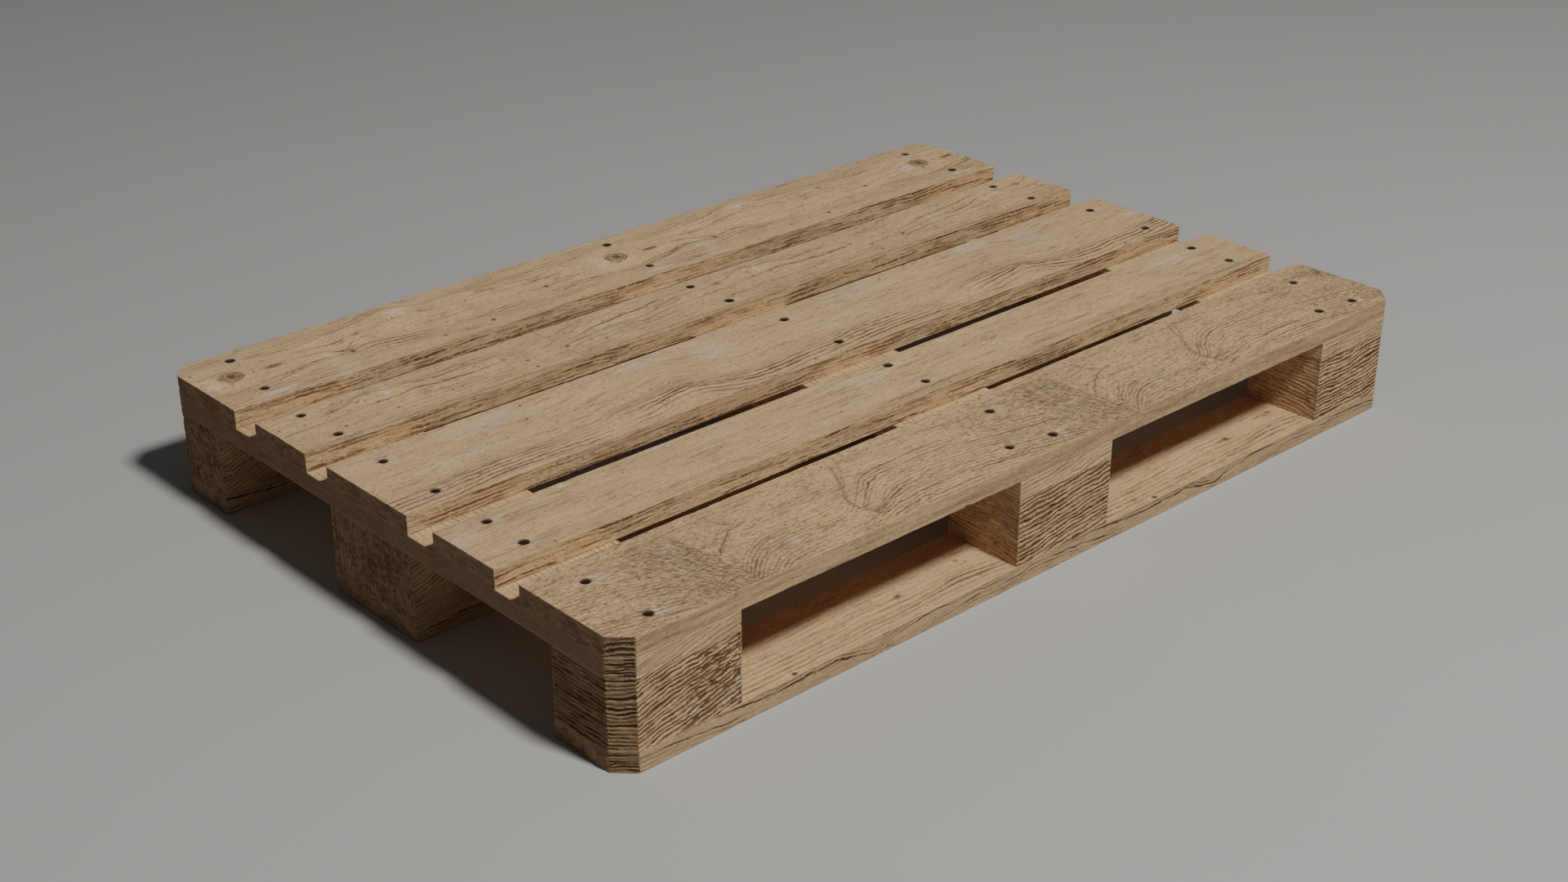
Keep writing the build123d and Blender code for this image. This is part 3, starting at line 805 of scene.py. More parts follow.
        # sawn-off ends: rings in arcs, torn fibres
        cy = (piece.lo[1] + piece.hi[1]) / 2 + 70 * math.sin(seed * 2.3)
        ring = np.hypot(y - cy, z - 60 - 90 * math.cos(seed)) / 4.0
        late, spacing = 0.35 * one, 4 * one
        tear = fbm(y / 7, z / 3.0, 0, seed + 12, 3)
        relief = relief + 0.7 * step(0.55, 0.32, tear)
        # the torn hollows darkened in colour: painted shade
        cavity_shade = 0.50 * step(0.46, 0.28, tear)
        end = one
        s, across, w = y, z, x
        dash = 0.6 * one
    elif deck and kind == TOP:
        ring, late, spacing = slope(spec["figure"], x, tt)
        across = tt if node == "deck_board_front_outer" else -ring * np.median(spacing)
        if node == "deck_board_front_outer":
            xw = wrapped(x)
            shift = 0.36 * (y + 335)
            mess = step(-520, -478, xw + shift) * step(-404, -456, xw + 0.5 * shift) * step(-270, -296, y)
            mess = step(0.15, 1.05, mess + 0.9 * (fbm(x / 19, y / 14, 0, 14, 3) - 0.5)) * np.clip(mess * 2, 0, 1)
            lean = mess
            dash = 0.78 + 0.22 * step(-330, -520, xw) + 0.1 * noise(x / 50, y / 40, 0, 2)
            lean = np.clip(0.56 * mess + 0.30 * step(-280, -440, xw) * step(-268, -280, y), 0, 1)
            # pale flecks over the torn patch: painted highlights on the lifted fibres
            pale = 0.12 * mess * step(0.45, 0.7, noise((0.45 * x - 0.89 * y) / 9, (0.89 * x + 0.45 * y) / 3.4, 0, 12))
            cut = fbm((0.45 * x - 0.89 * y) / 11, (0.89 * x + 0.45 * y) / 3.6, 0, 56, 2)
            relief = relief + 0.55 * mess * step(0.56, 0.34, cut)
            relief = relief + 0.30 * step(0.5, 0.3, fbm(x / 9, tt / 2.4, 0, 55, 2)) * (1 - mess)
            for points, width, amount in (
                    ([(-224, -276), (-232, -290), (-240, -305), (-250, -320), (-260, -333), (-264, -347), (-264, -358),
                      (-258, -371), (-253, -380)], 1.9, 0.80),
                    ([(-215, -277), (-225, -291), (-236, -306), (-248, -321), (-256, -333)], 1.5, 0.50),
                    ([(-221, -282), (-214, -274)], 3.2, 0.55), ([(-203, -277), (-183, -278)], 2.4, 0.55),
                    ([(-110, -276), (-90, -278), (-75, -281), (-60, -285), (-57, -286)], 2.6, 0.60),
                    ([(-599, -286), (-580, -288)], 2.4, 0.40),
                    ([(-545, -281), (-530, -285), (-515, -288), (-505, -294), (-497, -306)], 1.9, 0.60),
                    ([(-391, -277), (-388, -287), (-383, -295), (-378, -300)], 2.2, 0.75),
                    ([(-417, -290), (-414, -305)], 2.0, 0.45), ([(-446, -315), (-441, -314)], 3.0, 0.60),
                    ([(-425, -317), (-417, -317)], 2.6, 0.60), ([(-299, -332), (-299, -349)], 2.4, 0.45),
                    ([(-342, -328), (-341, -336)], 2.0, 0.55), ([(-516, -271), (-320, -272)], 1.3, 0.35)):
                dark = np.maximum(dark, amount * stroke(xw, y, points, width))
            dark = np.maximum(dark, 0.16 * step(-300, -288, xw) * step(-225, -262, xw) * step(-345, -325, y) * step(-268, -276, y))
        if node == "deck_board_rear_inner":
            edge = step(124, 116, y)
            dash = dash + 0.35 * edge
            dark = 0.30 * edge
        if node == "deck_board_front_inner":
            dark = 0.18 * step(-195, -212, y)
        if node == "deck_board_middle":
            dash = dash + 0.25 * step(10, -5, y) * step(-45, -20, y)
    elif deck and kind in (NEAR, FAR):
        if node == "deck_board_front_outer" and kind == NEAR:
            ring = edge_lines(x, z, seed, 2.35, 0.8)
            late = 0.42 + 0.36 * noise(x / 70, z / 4, 0, 31)
            spacing, dash = 2.35 * one, 0.25 * one
            dark = 0.05 + 0.24 * step(0.48, 0.7, fbm(x / 60, z / 5, 0, 33, 2))
            warm = -0.25
        else:
            ring = edge_lines(x, z + 3.2 * (noise(x / 130, 0, 0, seed + 34) - 0.5), seed, 4.6, 1.9)
            late = 0.40 + 0.66 * step(0.42, 0.66, fbm(x / 50, z / 5, 0, seed + 33, 2))
            spacing, dash = 4.6 * one, 0.65 * one
            dark = 0.26 * step(0.52, 0.72, fbm(x / 60, z / 5.5, 0, seed + 36, 2))
            dark = np.maximum(dark, 0.74 * step(0.60, 0.74, fbm(x / 26, z / 2.7, 0, seed + 37, 2)))
            warm = 0.72
        across = -ring * spacing
        w = y
    elif bottom and kind == TOP:
        if node == "bottom_board_front":
            ring, late, spacing = slope(bottom_top_lines, x, tt + wobble(x, y, 0, seed, 0.8, 0.3))
            across = -ring * 6.5
        else:
            ring = np.hypot(tt - spec["across"], 120.0) / spec["spacing"]
            late, spacing, across = 0.6 * one, spec["spacing"] * one, tt
    elif bottom and kind in (NEAR, FAR):
        mirrored = z if kind == NEAR else 22 - z
        ring, late, spacing = slope(bottom_side_lines, x if node.endswith("front") else x + 171 * seed,
                                    mirrored + wobble(x, z, 0, seed, 0.5, 0.6))
        across = z
        relief = relief + 0.5 * late * np.exp(-((ring - np.round(ring)) * spacing / 1.1) ** 2)
        slit = 0.75 * late * (0.25 + 0.75 * step(0.44, 0.60, fbm(x / 20, z / 8, 0, seed + 41, 2)))
        dash = 0.62 * one
        dark = 0.22 + 0.26 * step(0.50, 0.70, fbm(x / 24, z / 5.0, 0, seed + 19, 3))
        w = y
    else:
        sway = 7.0 * (fbm(s / 170, t / 90, w / 60, seed, 3) - 0.5) * 2
        if stringer and kind in (LEFT, RIGHT) or kind in (NEAR, FAR):
            tt, w = z, (x if stringer else y)
            ring = (tt + 0.35 * sway) / 4.4
            spacing = 4.4 * one
        else:
            ring = np.hypot(tt + sway - spec.get("across", 300), 60) / spec.get("spacing", 5.5)
            spacing = spec.get("spacing", 5.5) * one
        late = spec.get("base", 0.5) * (0.7 + 0.6 * noise(s / 150, t / 25, w / 20, 9))
        across = ring * spacing

    # pale scuffs
    for px, py, rx, ry, amount in (spec.get("pale", []) if kind == TOP else []):
        for k in range(3):
            d = np.hypot((x - px - k * PERIOD) / rx, (y - py) / ry)
            pale = np.maximum(pale, amount * step(1.35, 0.35, d + 1.1 * (fbm(x / 9, y / 3.0, 0, 91, 2) - 0.5)))

    tone = fbm(s / 260, t / 45, w / 30, seed + 14, 3)
    tint = np.array(spec["tint"])[None] * (0.94 + 0.12 * tone)[:, None]
    if deck or bottom:
        tint = tint * (1 - max(warm, -0.4) * np.array([0.03, 0.075, 0.16]))
    if deck and kind in (NEAR, FAR) and warm > 0:
        tint = tint * 1.06
    if block and kind in (LEFT, RIGHT) and np.abs(x).min() < 590:
        tint = tint * 1.11
    if node == "block_front_right":
        tint = tint * 1.07
    if node == "block_front_middle" and kind == NEAR:
        tint = tint * 0.92
    if node == "bottom_board_front" and kind == NEAR:
        tint = tint * 0.955
    # Both end faces of the pallet are cut to under half their colour: painted shade, as if the ends stood out of the
    # key light; the mottle in it is the end grain's own tone.
    if kind in (LEFT, BEVELLED) and x.max() < -590 or kind == RIGHT and x.min() > 590:
        if kind != BEVELLED:
            mottle = 0.66 + 0.68 * fbm(s / 15, z / 9, 0, seed + 15, 3)
            part = 0.82 if stringer else (0.92 if deck else {"front": 1.06, "centre": 1.08, "rear": 1.15}.get(
                node.split("_")[1], 1.0))
            tint = tint * np.array([0.46, 0.42, 0.38]) * part * (1 if stringer else mottle[:, None])
    return {
        "ring": ring, "lines": np.stack([np.clip(late, 0, 1.3), spacing, np.clip(slit, 0, 1.2)], 1),
        "grain": np.stack([s, across, w], 1), "tint": np.concatenate([tint, one[:, None]], 1),
        "marks": np.stack([np.clip(dash, 0, 1), np.clip(pale, 0, 1), np.clip(dark, 0, 1)], 1),
        "knot": knot, "knot_kind": np.stack([knot_kind[:, 0], knot_kind[:, 1], lean], 1), "cavity_shade": cavity_shade, "end": end, "relief": relief,
    }


def build(node, material, pitch):
    low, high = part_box(node)
    box = (np.round(np.array(low) * 1000, 2), np.round(np.array(high) * 1000, 2))
    spec = TIMBER[node]
    seed = spec["seed"]
    holes = nails_through(box)
    piece = Piece(box, pitch, holes)
    P, N = piece.P, piece.N
    x, y, z = P.T
    n = len(P)
    stringer = node.startswith("stringer")
    s, t, w = (y, x, z) if stringer else (x, y, z)

    loops = np.concatenate([piece.quads.ravel(), piece.tris.ravel()]).astype(np.int32)
    loop_kind = np.concatenate([np.repeat(piece.quad_kind, 4), np.repeat(piece.tri_kind, 3)])

    # --- worn arrises ---
    d_edge = piece.edge_distance()
    on_edge = (np.abs(piece.side).sum(1) > 1)
    wear = 0.40 + 1.0 * fbm(s / 26.0, t / 60, w / 12, seed + 3, 3) ** 2
    chips = step(0.70, 0.86, fbm(s / 9.0, t / 50, w / 6, seed + 4, 2)) * 1.8
    radius = np.clip(wear + chips, 0.3, 3.2)
    inset = np.where(d_edge < radius,
                     radius - np.sqrt(np.clip(radius ** 2 - (radius - np.clip(d_edge, 0, None)) ** 2, 0, None)), 0)
    inset = np.where(on_edge, 0.293 * radius, np.minimum(inset, 0.7 * radius))
    sunk = (piece.side == 0).all(1)      # the walls of nail holes
    inset[sunk] = 0

    # --- what each face is like, kind by kind ---
    relief = np.zeros(n)
    seen = np.zeros(n)
    corner = {}
    sizes = {"ring": 1, "lines": 3, "grain": 3, "tint": 4, "marks": 3, "knot": 3, "knot_kind": 3, "cavity_shade": 1, "end": 1}
    for name, size in sizes.items():
        corner[name] = np.zeros((len(loops), size))
    lookup = np.zeros(n, int)
    for kind in np.unique(loop_kind):
        mask = loop_kind == kind
        ids = np.unique(loops[mask])
        lookup[ids] = np.arange(len(ids))
        got = describe(node, spec, int(kind), P[ids], N[ids], piece)
        row = lookup[loops[mask]]
        for name, size in sizes.items():
            corner[name][mask] = got[name].reshape(len(ids), size)[row]
        relief[ids] += got["relief"]
        seen[ids] += 1
    relief = relief / np.maximum(seen, 1)
    # bearing faces stay flat; relief fades out at the arrises
    block = node.startswith("block")
    if block:
        relief = np.where(piece.on(2, 1) | piece.on(2, -1), 0.05, relief)
    relief = np.minimum(relief, 2.6) * np.clip(d_edge / 2.2, 0.3, 1)
    relief[sunk] = 0
    Q = P - N * (relief + inset)[:, None]

    nail = np.zeros((n, 3))
    nail[:] = (900, 900, 0)
    near_d = np.full(n, 1e9)
    for hole in holes:
        if not hole["head"]:
            continue
        dx, dy = x - hole["x"], y - hole["y"]
        dz = np.abs(z - (piece.hi[2] if hole["down"] < 0 else piece.lo[2]))
        d = np.hypot(dx, dy) + np.where(dz > 6, 900, 0)
        take = d < near_d
        near_d = np.where(take, d, near_d)
        ds, dt = (dy, dx) if stringer else (dx, dy)
        nail[take] = np.stack([ds, dt, np.where(d < 60, 0.75 + 0.25 * math.sin(hole["x"] * 7.1), 0)], 1)[take]
    nail[near_d > 60] = (900, 900, 0)
    worn = np.clip(1 - d_edge / 2.2, 0, 1)
    worn[sunk] = 0

    mesh = bpy.data.meshes.new("sawn_" + node)
    nq, nt = len(piece.quads), len(piece.tris)
    mesh.vertices.add(n)
    mesh.vertices.foreach_set("co", (Q * MM).astype(np.float32).ravel())
    mesh.loops.add(len(loops))
    mesh.loops.foreach_set("vertex_index", loops)
    starts = np.concatenate([np.arange(nq) * 4, nq * 4 + np.arange(nt) * 3]).astype(np.int32)
    mesh.polygons.add(nq + nt)
    mesh.polygons.foreach_set("loop_start", starts)
    mesh.polygons.foreach_set("use_smooth", np.ones(nq + nt, bool))
    mesh.update(calc_edges=True)
    mesh.validate(verbose=False)

    def write(name, kind, values, domain):
        a = mesh.attributes.new(name, kind, domain)
        field = {"FLOAT": "value", "FLOAT_VECTOR": "vector", "FLOAT_COLOR": "color"}[kind]
        a.data.foreach_set(field, np.ascontiguousarray(values, dtype=np.float32).ravel())

    write("ring", "FLOAT", corner["ring"], "CORNER")
    for name in ("lines", "grain", "marks", "knot", "knot_kind"):
        write(name, "FLOAT_VECTOR", corner[name], "CORNER")
    write("tint", "FLOAT_COLOR", corner["tint"], "CORNER")
    # the wear attribute holds the real arris wear, the mask of painted shade in pits and hollows, and the end-face flag
    write("wear", "FLOAT_VECTOR", np.stack([worn[loops], corner["cavity_shade"][:, 0], corner["end"][:, 0]], 1), "CORNER")
    write("nail", "FLOAT_VECTOR", nail, "POINT")
    obj = bpy.data.objects.new("sawn_" + node, mesh)
    bpy.context.scene.collection.objects.link(obj)
    mesh.materials.append(material)
    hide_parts(node)
    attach(obj, "root")
    return obj


# ---------------------------------------------------------------------------
# Materials
# ---------------------------------------------------------------------------

class Nodes:
    """Short hand for wiring a node tree."""

    def __init__(self, name):
        self.mat = bpy.data.materials.new(name)
        self.mat.use_nodes = True
        self.tree = self.mat.node_tree
        self.tree.nodes.clear()
        self.x = 0

    def add(self, kind, **props):
        n = self.tree.nodes.new(kind)
        self.x += 40
        n.location = (self.x, -(self.x * 7) % 900)
        for k, v in props.items():
            setattr(n, k, v)
        return n

    def put(self, socket, value):
        if hasattr(value, "is_output") or isinstance(value, bpy.types.NodeSocket):
            self.tree.links.new(value, socket)
        else:
            socket.default_value = value

    def math(self, op, a, b=None, c=None, clamp=False):
        n = self.add("ShaderNodeMath", operation=op, use_clamp=clamp)
        for i, v in enumerate((a, b, c)):
            if v is not None:
                self.put(n.inputs[i], v)
        return n.outputs[0]

    def vec(self, op, a, b=None):
        n = self.add("ShaderNodeVectorMath", operation=op)
        self.put(n.inputs[0], a)
        if b is not None:
            self.put(n.inputs[3] if op == "SCALE" else n.inputs[1], b)
        return n.outputs["Value"] if op in ("LENGTH", "DOT_PRODUCT", "DISTANCE") else n.outputs["Vector"]

    def split(self, v):
        n = self.add("ShaderNodeSeparateXYZ")
        self.put(n.inputs[0], v)
        return n.outputs[0], n.outputs[1], n.outputs[2]

    def join(self, x, y, z):
        n = self.add("ShaderNodeCombineXYZ")
        for i, v in enumerate((x, y, z)):
            self.put(n.inputs[i], v)
        return n.outputs[0]

    def ramp(self, x, lo, hi, a=0.0, b=1.0):
        n = self.add("ShaderNodeMapRange", interpolation_type="SMOOTHSTEP")
        for i, v in enumerate((x, lo, hi, a, b)):
            self.put(n.inputs[i], v)
        return n.outputs[0]

    def noise(self, v, scale=1.0, detail=2.0, rough=0.5, dims="3D"):
        n = self.add("ShaderNodeTexNoise", noise_dimensions=dims)
        if dims == "1D":
            self.put(n.inputs["W"], v)
        else:
            self.put(n.inputs["Vector"], v)
        n.inputs["Scale"].default_value = scale
        n.inputs["Detail"].default_value = detail
        n.inputs["Roughness"].default_value = rough
        return n.outputs["Fac"]

    def attribute(self, name):
        return self.add("ShaderNodeAttribute", attribute_name=name)

    def mix(self, f, a, b, blend="MIX"):
        n = self.add("ShaderNodeMix", data_type="RGBA", blend_type=blend)
        self.put(n.inputs[0], f)
        for socket, v in ((n.inputs[6], a), (n.inputs[7], b)):
            self.put(socket, v if not isinstance(v, tuple) or len(v) == 4 else (*v, 1.0))
        return n.outputs[2]


def wood_material(name, base, line, knot_colour, fibre=1.0, coarse=1.0, seed=0.0):
    """Sawn, weathered softwood.  Attributes carry the growth lines, the grain's path, knots and nails in mm."""
    m = Nodes(name)
    ring = m.attribute("ring").outputs["Fac"]
    line_on, spacing, slit = m.split(m.attribute("lines").outputs["Vector"])
    grain = m.attribute("grain").outputs["Vector"]
    tint = m.attribute("tint").outputs["Color"]
    dash_amount, pale, dark = m.split(m.attribute("marks").outputs["Vector"])
    knot_v = m.attribute("knot").outputs["Vector"]
    knot_dark, knot_ringy, lean = m.split(m.attribute("knot_kind").outputs["Vector"])
    nail_s, nail_t, nail_on = m.split(m.attribute("nail").outputs["Vector"])
    worn, cavity_shade, end = m.split(m.attribute("wear").outputs["Vector"])
    grain_s, grain_q, grain_w = m.split(grain)

    def stretched(a, b, c=None, offset=0.0):
        v = m.vec("MULTIPLY", grain, (a, b, c if c is not None else b))
        return m.vec("ADD", v, (offset + seed, offset * 0.7, seed * 1.3))

    # growth lines, each with its own weight, broken and uneven along its length
    shake = m.math("ADD", m.math("MULTIPLY_ADD", m.noise(stretched(0.07, 0.10, offset=3.1), 1.0, 2.0, 0.55), 2.6, -1.3),
                   m.math("MULTIPLY_ADD", m.noise(stretched(0.30, 0.25, offset=7.9), 1.0, 1.0, 0.5), 1.2, -0.6))
    r = m.math("ADD", ring, m.math("DIVIDE", shake, spacing))
    number = m.math("ROUND", r)
    u = m.math("MULTIPLY", m.math("ABSOLUTE", m.math("SUBTRACT", r, number)), spacing)
    side = m.math("MULTIPLY", m.math("SUBTRACT", r, number), spacing)
    own = m.noise(number, 7.31, 0.0, 0.5, "1D")
    track = m.join(m.math("MULTIPLY", grain_s, 0.013), m.math("MULTIPLY", number, 3.37), seed)
    track_fine = m.join(m.math("MULTIPLY", grain_s, 0.11), m.math("MULTIPLY", number, 5.13), seed + 3.0)
    along = m.noise(track, 1.0, 2.0, 0.5)
    broken = m.noise(track_fine, 1.0, 2.0, 0.6)
    strength = m.math("MULTIPLY", m.ramp(own, 0.34, 0.60, 0.72, 1.0), m.ramp(along, 0.36, 0.56, 0.72, 1.0))
    strength = m.math("MULTIPLY", strength, m.math("MULTIPLY", line_on, m.math("MULTIPLY_ADD", line_on, 0.75, 0.60)))
    width = m.math("MULTIPLY", m.math("MULTIPLY_ADD", broken, 1.7, 0.80), m.math("MULTIPLY_ADD", line_on, 0.75, 0.45))
    core = m.ramp(u, m.math("MULTIPLY", width, 0.34), width, 1.0, 0.0)
    core = m.math("MULTIPLY", core, m.ramp(broken, 0.34, 0.52, 0.55, 1.0))
    soft = m.ramp(side, -3.4, 0.4, 0.0, 1.0)
    soft = m.math("MULTIPLY", soft, m.ramp(side, 0.2, 1.0, 1.0, 0.0))
    rings = m.math("MULTIPLY", m.math("MAXIMUM", core, m.math("MULTIPLY", soft, 0.50)), strength)

    # slits opened along the lines on weathered faces; their near-black inside is painted shade down in the cracks
    open_w = m.math("MULTIPLY_ADD", slit, 1.55, 0.10)
    slits = m.math("MULTIPLY", m.ramp(u, m.math("MULTIPLY", open_w, 0.15), open_w, 1.0, 0.0), m.ramp(slit, 0.12, 0.62))

    # fibres, open pores, torn dashes, drying lines and blotches
    fibres = m.noise(stretched(0.034, 0.60, offset=1.0), 1.0, 4.0, 0.72)
    fuzz = m.noise(stretched(0.20, 0.95, offset=5.0), 1.0, 3.0, 0.65)
    pores_n = m.noise(stretched(0.15, 0.52, offset=51.0), 1.0, 2.0, 0.6)
    pore_cut = m.math("MULTIPLY_ADD", dash_amount, -0.125, 0.705)
    pores = m.ramp(pores_n, pore_cut, m.math("ADD", pore_cut, 0.05))
    dashes_n = m.noise(stretched(0.065, 0.40, offset=21.0), 1.0, 2.0, 0.55)
    dash_cut = m.math("MULTIPLY_ADD", dash_amount, -0.12, 0.735)
    dashes = m.ramp(dashes_n, dash_cut, m.math("ADD", dash_cut, 0.05))
    drying_n = m.noise(stretched(0.0065, 0.13, offset=33.0), 1.0, 3.0, 0.6)
    drying = m.math("SUBTRACT", 1.0, m.math("ABSOLUTE", m.math("MULTIPLY_ADD", drying_n, 2.0, -1.0)))
    drying = m.math("MULTIPLY", m.ramp(drying, 0.97, 0.997), m.ramp(along, 0.42, 0.58))
    blotch = m.noise(stretched(0.012, 0.030, offset=41.0), 1.0, 4.0, 0.62)
    patch = m.noise(stretched(0.028, 0.045, offset=63.0), 1.0, 3.0, 0.6)
    cross = m.noise(stretched(0.42, 0.035, offset=77.0), 1.0, 3.0, 0.6)
    speck_n = m.noise(stretched(0.30, 0.33, offset=87.0), 1.0, 0.0, 0.5)
    speck = m.ramp(speck_n, 0.80, 0.84)

    # fibres torn out on a slant, where the grain dives across a board, with painted highlights on the lifted fibres
    place = m.vec("SCALE", m.add("ShaderNodeTexCoord").outputs["Object"], 1000.0)
    slanted = m.join(m.vec("DOT_PRODUCT", place, (0.45, -0.89, 0.0)), m.vec("DOT_PRODUCT", place, (0.89, 0.45, 0.0)), seed)
    torn_n = m.noise(m.vec("MULTIPLY", slanted, (0.10, 0.40, 1.0)), 1.0, 3.0, 0.6)
    torn = m.math("MULTIPLY", m.ramp(torn_n, 0.51, 0.59), lean)
    lifted_highlight = m.math("MULTIPLY", m.ramp(torn_n, 0.45, 0.36), lean)

    # knots
    kx, ky, kr = m.split(knot_v)
    kd = m.math("DIVIDE", m.vec("LENGTH", m.join(kx, ky, 0.0)), kr)
    k_wob = m.noise(m.vec("MULTIPLY", knot_v, (0.30, 0.30, 1.0)), 1.0, 3.0, 0.6)
    kd = m.math("MULTIPLY_ADD", m.math("SUBTRACT", k_wob, 0.5), 1.0, kd)
    k_core = m.ramp(kd, 0.25, 0.62, 1.0, 0.0)
    k_body = m.ramp(kd, 0.95, 1.45, 1.0, 0.0)
    k_rings = m.math("MULTIPLY", m.ramp(m.math("SINE", m.math("MULTIPLY", kd, 19.0)), 0.0, 0.9), k_body)
    k_rings = m.math("MULTIPLY", m.math("MULTIPLY_ADD", k_body, 0.20, k_rings), knot_ringy)
    plain_body = m.math("MULTIPLY", m.ramp(kd, 0.55, 1.05, 1.0, 0.0), m.math("SUBTRACT", 1.0, knot_ringy))
    knot_mask = m.math("MAXIMUM", k_core, m.math("MULTIPLY", k_rings, 0.80))
    knot_mask = m.math("MULTIPLY", knot_dark, m.math("MAXIMUM", knot_mask, plain_body), clamp=True)
    knot_tone = m.math("MULTIPLY", m.math("MULTIPLY", k_body, knot_dark), 0.30)

    # round each driven head a near-black disc: bruised, rust-stained fibres, darkened further as painted shade in the
    # dent; and a paler scuff beside it
    nd = m.vec("LENGTH", m.join(m.math("MULTIPLY", nail_s, 0.92), nail_t, 0.0))
    nd = m.math("ADD", nd, m.math("MULTIPLY_ADD", fuzz, 3.4, -1.7))
    stain_and_dent_shade = m.math("MULTIPLY", m.ramp(nd, 5.0, 6.6, 1.0, 0.0), nail_on)
    scuff = m.vec("LENGTH", m.join(m.math("ADD", nail_s, -9.0), m.math("MULTIPLY_ADD", nail_t, 0.8, 3.0), 0.0))
    scuff = m.math("MULTIPLY", m.ramp(m.math("MULTIPLY_ADD", fuzz, 7.0, scuff), 5.0, 13.0, 1.0, 0.0), nail_on)

    # colour
    hue = m.ramp(patch, 0.36, 0.62)
    ground = m.mix(hue, (base[0] * 1.01, base[1] * 0.985, base[2] * 0.95, 1.0),
                   (base[0] * 0.99, base[1] * 1.01, base[2] * 1.05, 1.0))
    shade = m.math("MULTIPLY_ADD", fibres, 0.85 * fibre, 1.0 - 0.425 * fibre)
    shade = m.math("MULTIPLY", shade, m.math("MULTIPLY_ADD", fuzz, 1.06 * fibre, 1.0 - 0.53 * fibre))
    shade = m.math("MULTIPLY", shade, m.math("MULTIPLY_ADD", blotch, 0.36, 0.84))
    shade = m.math("MULTIPLY", shade, m.math("MULTIPLY_ADD", cross, 0.22, 0.89))
    col = m.mix(1.0, ground, m.join(shade, shade, shade), "MULTIPLY")
    col = m.mix(1.0, col, tint, "MULTIPLY")
    # pale: real scuffs, and also painted highlights on crumbs and torn fibres
    col = m.mix(m.math("MULTIPLY", m.math("MULTIPLY", pale, m.ramp(fuzz, 0.30, 0.60, 0.45, 1.0)), 0.85), col,
                (0.80, 0.72, 0.60, 1.0))
    col = m.mix(m.math("MULTIPLY", rings, 0.88, clamp=True), col, (*line, 1.0))
    col = m.mix(m.math("MULTIPLY", dark, m.ramp(fibres, 0.30, 0.60, 0.55, 1.0)), col, (0.225, 0.140, 0.075, 1.0))
    col = m.mix(m.math("MULTIPLY", pores, 0.66 * coarse, clamp=True), col, (0.135, 0.075, 0.034, 1.0))
    col = m.mix(m.math("MULTIPLY", dashes, 0.45 * coarse, clamp=True), col, (0.150, 0.082, 0.036, 1.0))
    col = m.mix(m.math("MULTIPLY", drying, 0.55, clamp=True), col, (0.11, 0.062, 0.030, 1.0))
    col = m.mix(m.math("MULTIPLY", torn, 0.70, clamp=True), col, (0.150, 0.085, 0.040, 1.0))
    col = m.mix(m.math("MULTIPLY", lifted_highlight, 0.24, clamp=True), col, (0.80, 0.60, 0.41, 1.0))
    col = m.mix(m.math("MULTIPLY", speck, 0.70), col, (0.10, 0.055, 0.025, 1.0))
    col = m.mix(m.math("MULTIPLY", scuff, 0.20, clamp=True), col, (0.74, 0.65, 0.53, 1.0))
    col = m.mix(knot_tone, col, (*line, 1.0))
    col = m.mix(m.math("MULTIPLY", knot_mask, 0.92, clamp=True), col, (*knot_colour, 1.0))
    col = m.mix(m.math("MULTIPLY", stain_and_dent_shade, 0.95, clamp=True), col, (0.040, 0.026, 0.018, 1.0))
    # near-black in the pits and torn hollows: painted shade in the recesses
    col = m.mix(m.math("MULTIPLY", cavity_shade, 0.88, clamp=True), col, (0.075, 0.042, 0.022, 1.0))
    col = m.mix(m.math("MULTIPLY", slits, 0.95, clamp=True), col, (0.045, 0.024, 0.013, 1.0))
    col = m.mix(m.math("MULTIPLY", worn, 0.16), col, (0.70, 0.52, 0.33, 1.0))

    # relief finer than the mesh, in mm
    height = m.math("MULTIPLY", fibres, 0.55)
    height = m.math("MULTIPLY_ADD", fuzz, 0.55, height)
    height = m.math("MULTIPLY_ADD", dashes, -0.50, height)
    height = m.math("MULTIPLY_ADD", pores, -0.40, height)
    height = m.math("MULTIPLY_ADD", drying, -0.45, height)
    height = m.math("MULTIPLY_ADD", torn, -1.0, height)
    height = m.math("MULTIPLY_ADD", lifted_highlight, 0.35, height)
    height = m.math("MULTIPLY_ADD", rings, -0.22, height)
    height = m.math("MULTIPLY_ADD", slits, -1.1, height)
    height = m.math("MULTIPLY_ADD", knot_mask, -0.30, height)
    bump = m.add("ShaderNodeBump")
    bump.inputs["Strength"].default_value = 0.9
    bump.inputs["Distance"].default_value = MM
    m.put(bump.inputs["Height"], height)

    shader = m.add("ShaderNodeBsdfPrincipled")
    m.put(shader.inputs["Base Color"], col)
    m.put(shader.inputs["Roughness"], m.math("MULTIPLY_ADD", fibres, 0.22, 0.66))
    shader.inputs["Specular IOR Level"].default_value = 0.22
    m.put(shader.inputs["Normal"], bump.outputs["Normal"])
    out = m.add("ShaderNodeOutputMaterial")
    m.put(out.inputs["Surface"], shader.outputs["BSDF"])
    return m.mat


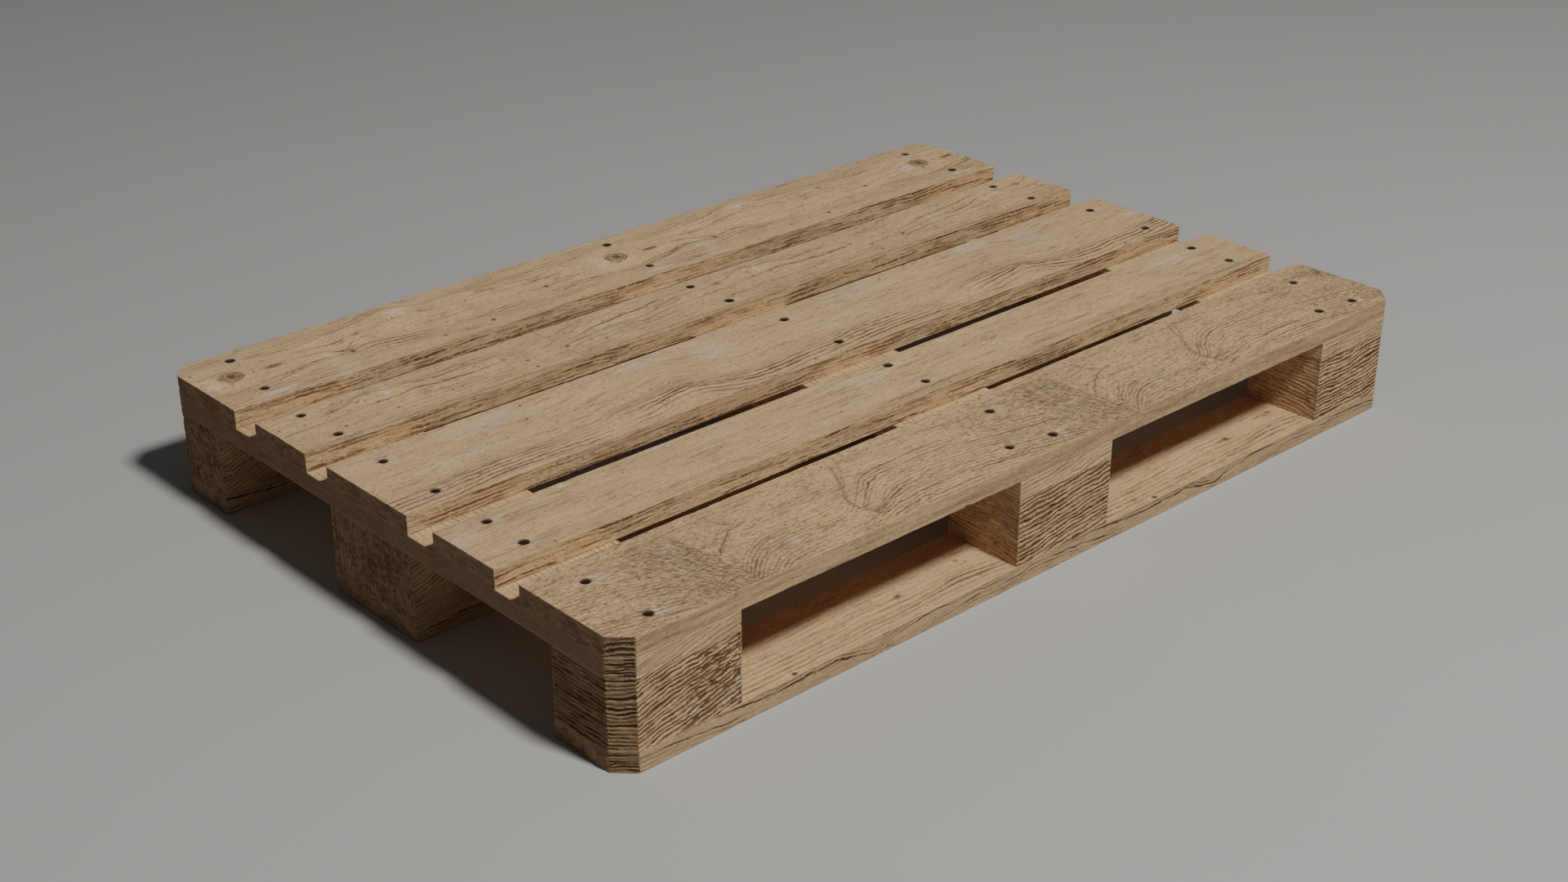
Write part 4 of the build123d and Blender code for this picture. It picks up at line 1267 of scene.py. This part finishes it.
def steel_material(name):
    """Dull wire-drawn steel with rust bloom."""
    m = Nodes(name)
    co = m.add("ShaderNodeTexCoord").outputs["Object"]
    bloom = m.noise(co, 420.0, 4.0, 0.65)
    fine = m.noise(co, 2600.0, 3.0, 0.6)
    rust = m.ramp(bloom, 0.42, 0.62)
    col = m.mix(rust, (0.011, 0.009, 0.008, 1.0), (0.024, 0.012, 0.007, 1.0))
    col = m.mix(m.ramp(fine, 0.45, 0.7), col, (0.008, 0.006, 0.005, 1.0))
    bump = m.add("ShaderNodeBump")
    bump.inputs["Strength"].default_value = 0.6
    bump.inputs["Distance"].default_value = 0.0002
    m.put(bump.inputs["Height"], m.math("ADD", bloom, fine))
    shader = m.add("ShaderNodeBsdfPrincipled")
    m.put(shader.inputs["Base Color"], col)
    m.put(shader.inputs["Metallic"], m.ramp(bloom, 0.35, 0.6, 0.18, 0.02))
    m.put(shader.inputs["Roughness"], m.ramp(fine, 0.2, 0.8, 0.62, 0.9))
    shader.inputs["Specular IOR Level"].default_value = 0.2
    m.put(shader.inputs["Normal"], bump.outputs["Normal"])
    out = m.add("ShaderNodeOutputMaterial")
    m.put(out.inputs["Surface"], shader.outputs["BSDF"])
    return m.mat


BASE = (0.648, 0.430, 0.254)
LINE = (0.150, 0.076, 0.032)
KNOT = (0.095, 0.048, 0.022)
deck_wood = wood_material("deck_wood", BASE, LINE, KNOT, 1.0, 1.0, seed=0.0)
stringer_wood = wood_material("stringer_wood", BASE, LINE, KNOT, 1.0, 0.8, seed=17.0)
block_wood = wood_material("block_wood", (0.60, 0.40, 0.225), LINE, KNOT, 1.2, 1.0, seed=29.0)
bottom_wood = wood_material("bottom_wood", BASE, LINE, KNOT, 1.0, 0.9, seed=53.0)
nail_steel = steel_material("nail_steel")

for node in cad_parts:
    if node.startswith("deck_board"):
        build(node, deck_wood, (2.4, 2.0, 2.2) if node.endswith("front_outer") else (2.6, 2.3, 2.2))
    elif node.startswith("stringer_board"):
        build(node, stringer_wood, (3.0, 3.0, 2.2))
    elif node.startswith("block"):
        build(node, block_wood, (1.3, 1.3, 1.15))
    elif node.startswith("bottom_board"):
        build(node, bottom_wood, (3.0, 2.8, 2.2))
    elif node.startswith("nails_"):
        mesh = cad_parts[node].data
        mesh.materials.clear()
        mesh.materials.append(nail_steel)


# ---------------------------------------------------------------------------
# Stage, light and camera
# ---------------------------------------------------------------------------
scene = bpy.context.scene


def stage_material(name, colour):
    m = Nodes(name)
    co = m.add("ShaderNodeTexCoord").outputs["Object"]
    soft = m.noise(co, 1.3, 3.0, 0.5)
    shader = m.add("ShaderNodeBsdfPrincipled")
    m.put(shader.inputs["Base Color"], m.mix(m.math("MULTIPLY", soft, 0.05), (*colour, 1.0), (1.0, 1.0, 1.0, 1.0)))
    shader.inputs["Roughness"].default_value = 0.9
    shader.inputs["Specular IOR Level"].default_value = 0.1
    out = m.add("ShaderNodeOutputMaterial")
    m.put(out.inputs["Surface"], shader.outputs["BSDF"])
    return m.mat


floor_mesh = bpy.data.meshes.new("floor")
reach = 14.0
floor_mesh.from_pydata([(-reach, -reach, 0), (reach, -reach, 0), (reach, reach, 0), (-reach, reach, 0)], [],
                       [(0, 1, 2, 3)])
floor = bpy.data.objects.new("floor", floor_mesh)
floor.location = (0, 0, -0.0002)
scene.collection.objects.link(floor)
floor_mesh.materials.append(stage_material("floor_grey", (0.46, 0.455, 0.45)))

world = bpy.data.worlds.new("studio")
scene.world = world
world.use_nodes = True
world.node_tree.nodes["Background"].inputs["Color"].default_value = (1.0, 0.99, 0.97, 1.0)
world.node_tree.nodes["Background"].inputs["Strength"].default_value = 0.05


def area_light(name, place, aim, size, watts, colour=(1, 1, 1)):
    light = bpy.data.lights.new(name, "AREA")
    light.shape = "DISK"
    light.size = size
    light.energy = watts
    light.color = colour
    o = bpy.data.objects.new(name, light)
    o.location = place
    o.rotation_euler = (Vector(aim) - Vector(place)).to_track_quat("-Z", "Y").to_euler()
    scene.collection.objects.link(o)
    return o


area_light("key", (0.0, -3.35, 4.78), (0, 0, 0.05), 0.8, 262, (1.0, 0.98, 0.95))

cam_data = bpy.data.cameras.new("camera")
cam_data.sensor_width = 36.0
cam_data.lens = 50.15
camera = bpy.data.objects.new("camera", cam_data)
camera.location = (-1.59967, -1.70221, 1.13534)
camera.rotation_euler = Vector((0.608873, 0.662321, -0.436583)).to_track_quat("-Z", "Y").to_euler()
scene.collection.objects.link(camera)
scene.camera = camera
scene.view_settings.view_transform = "Filmic"
scene.view_settings.look = "None"
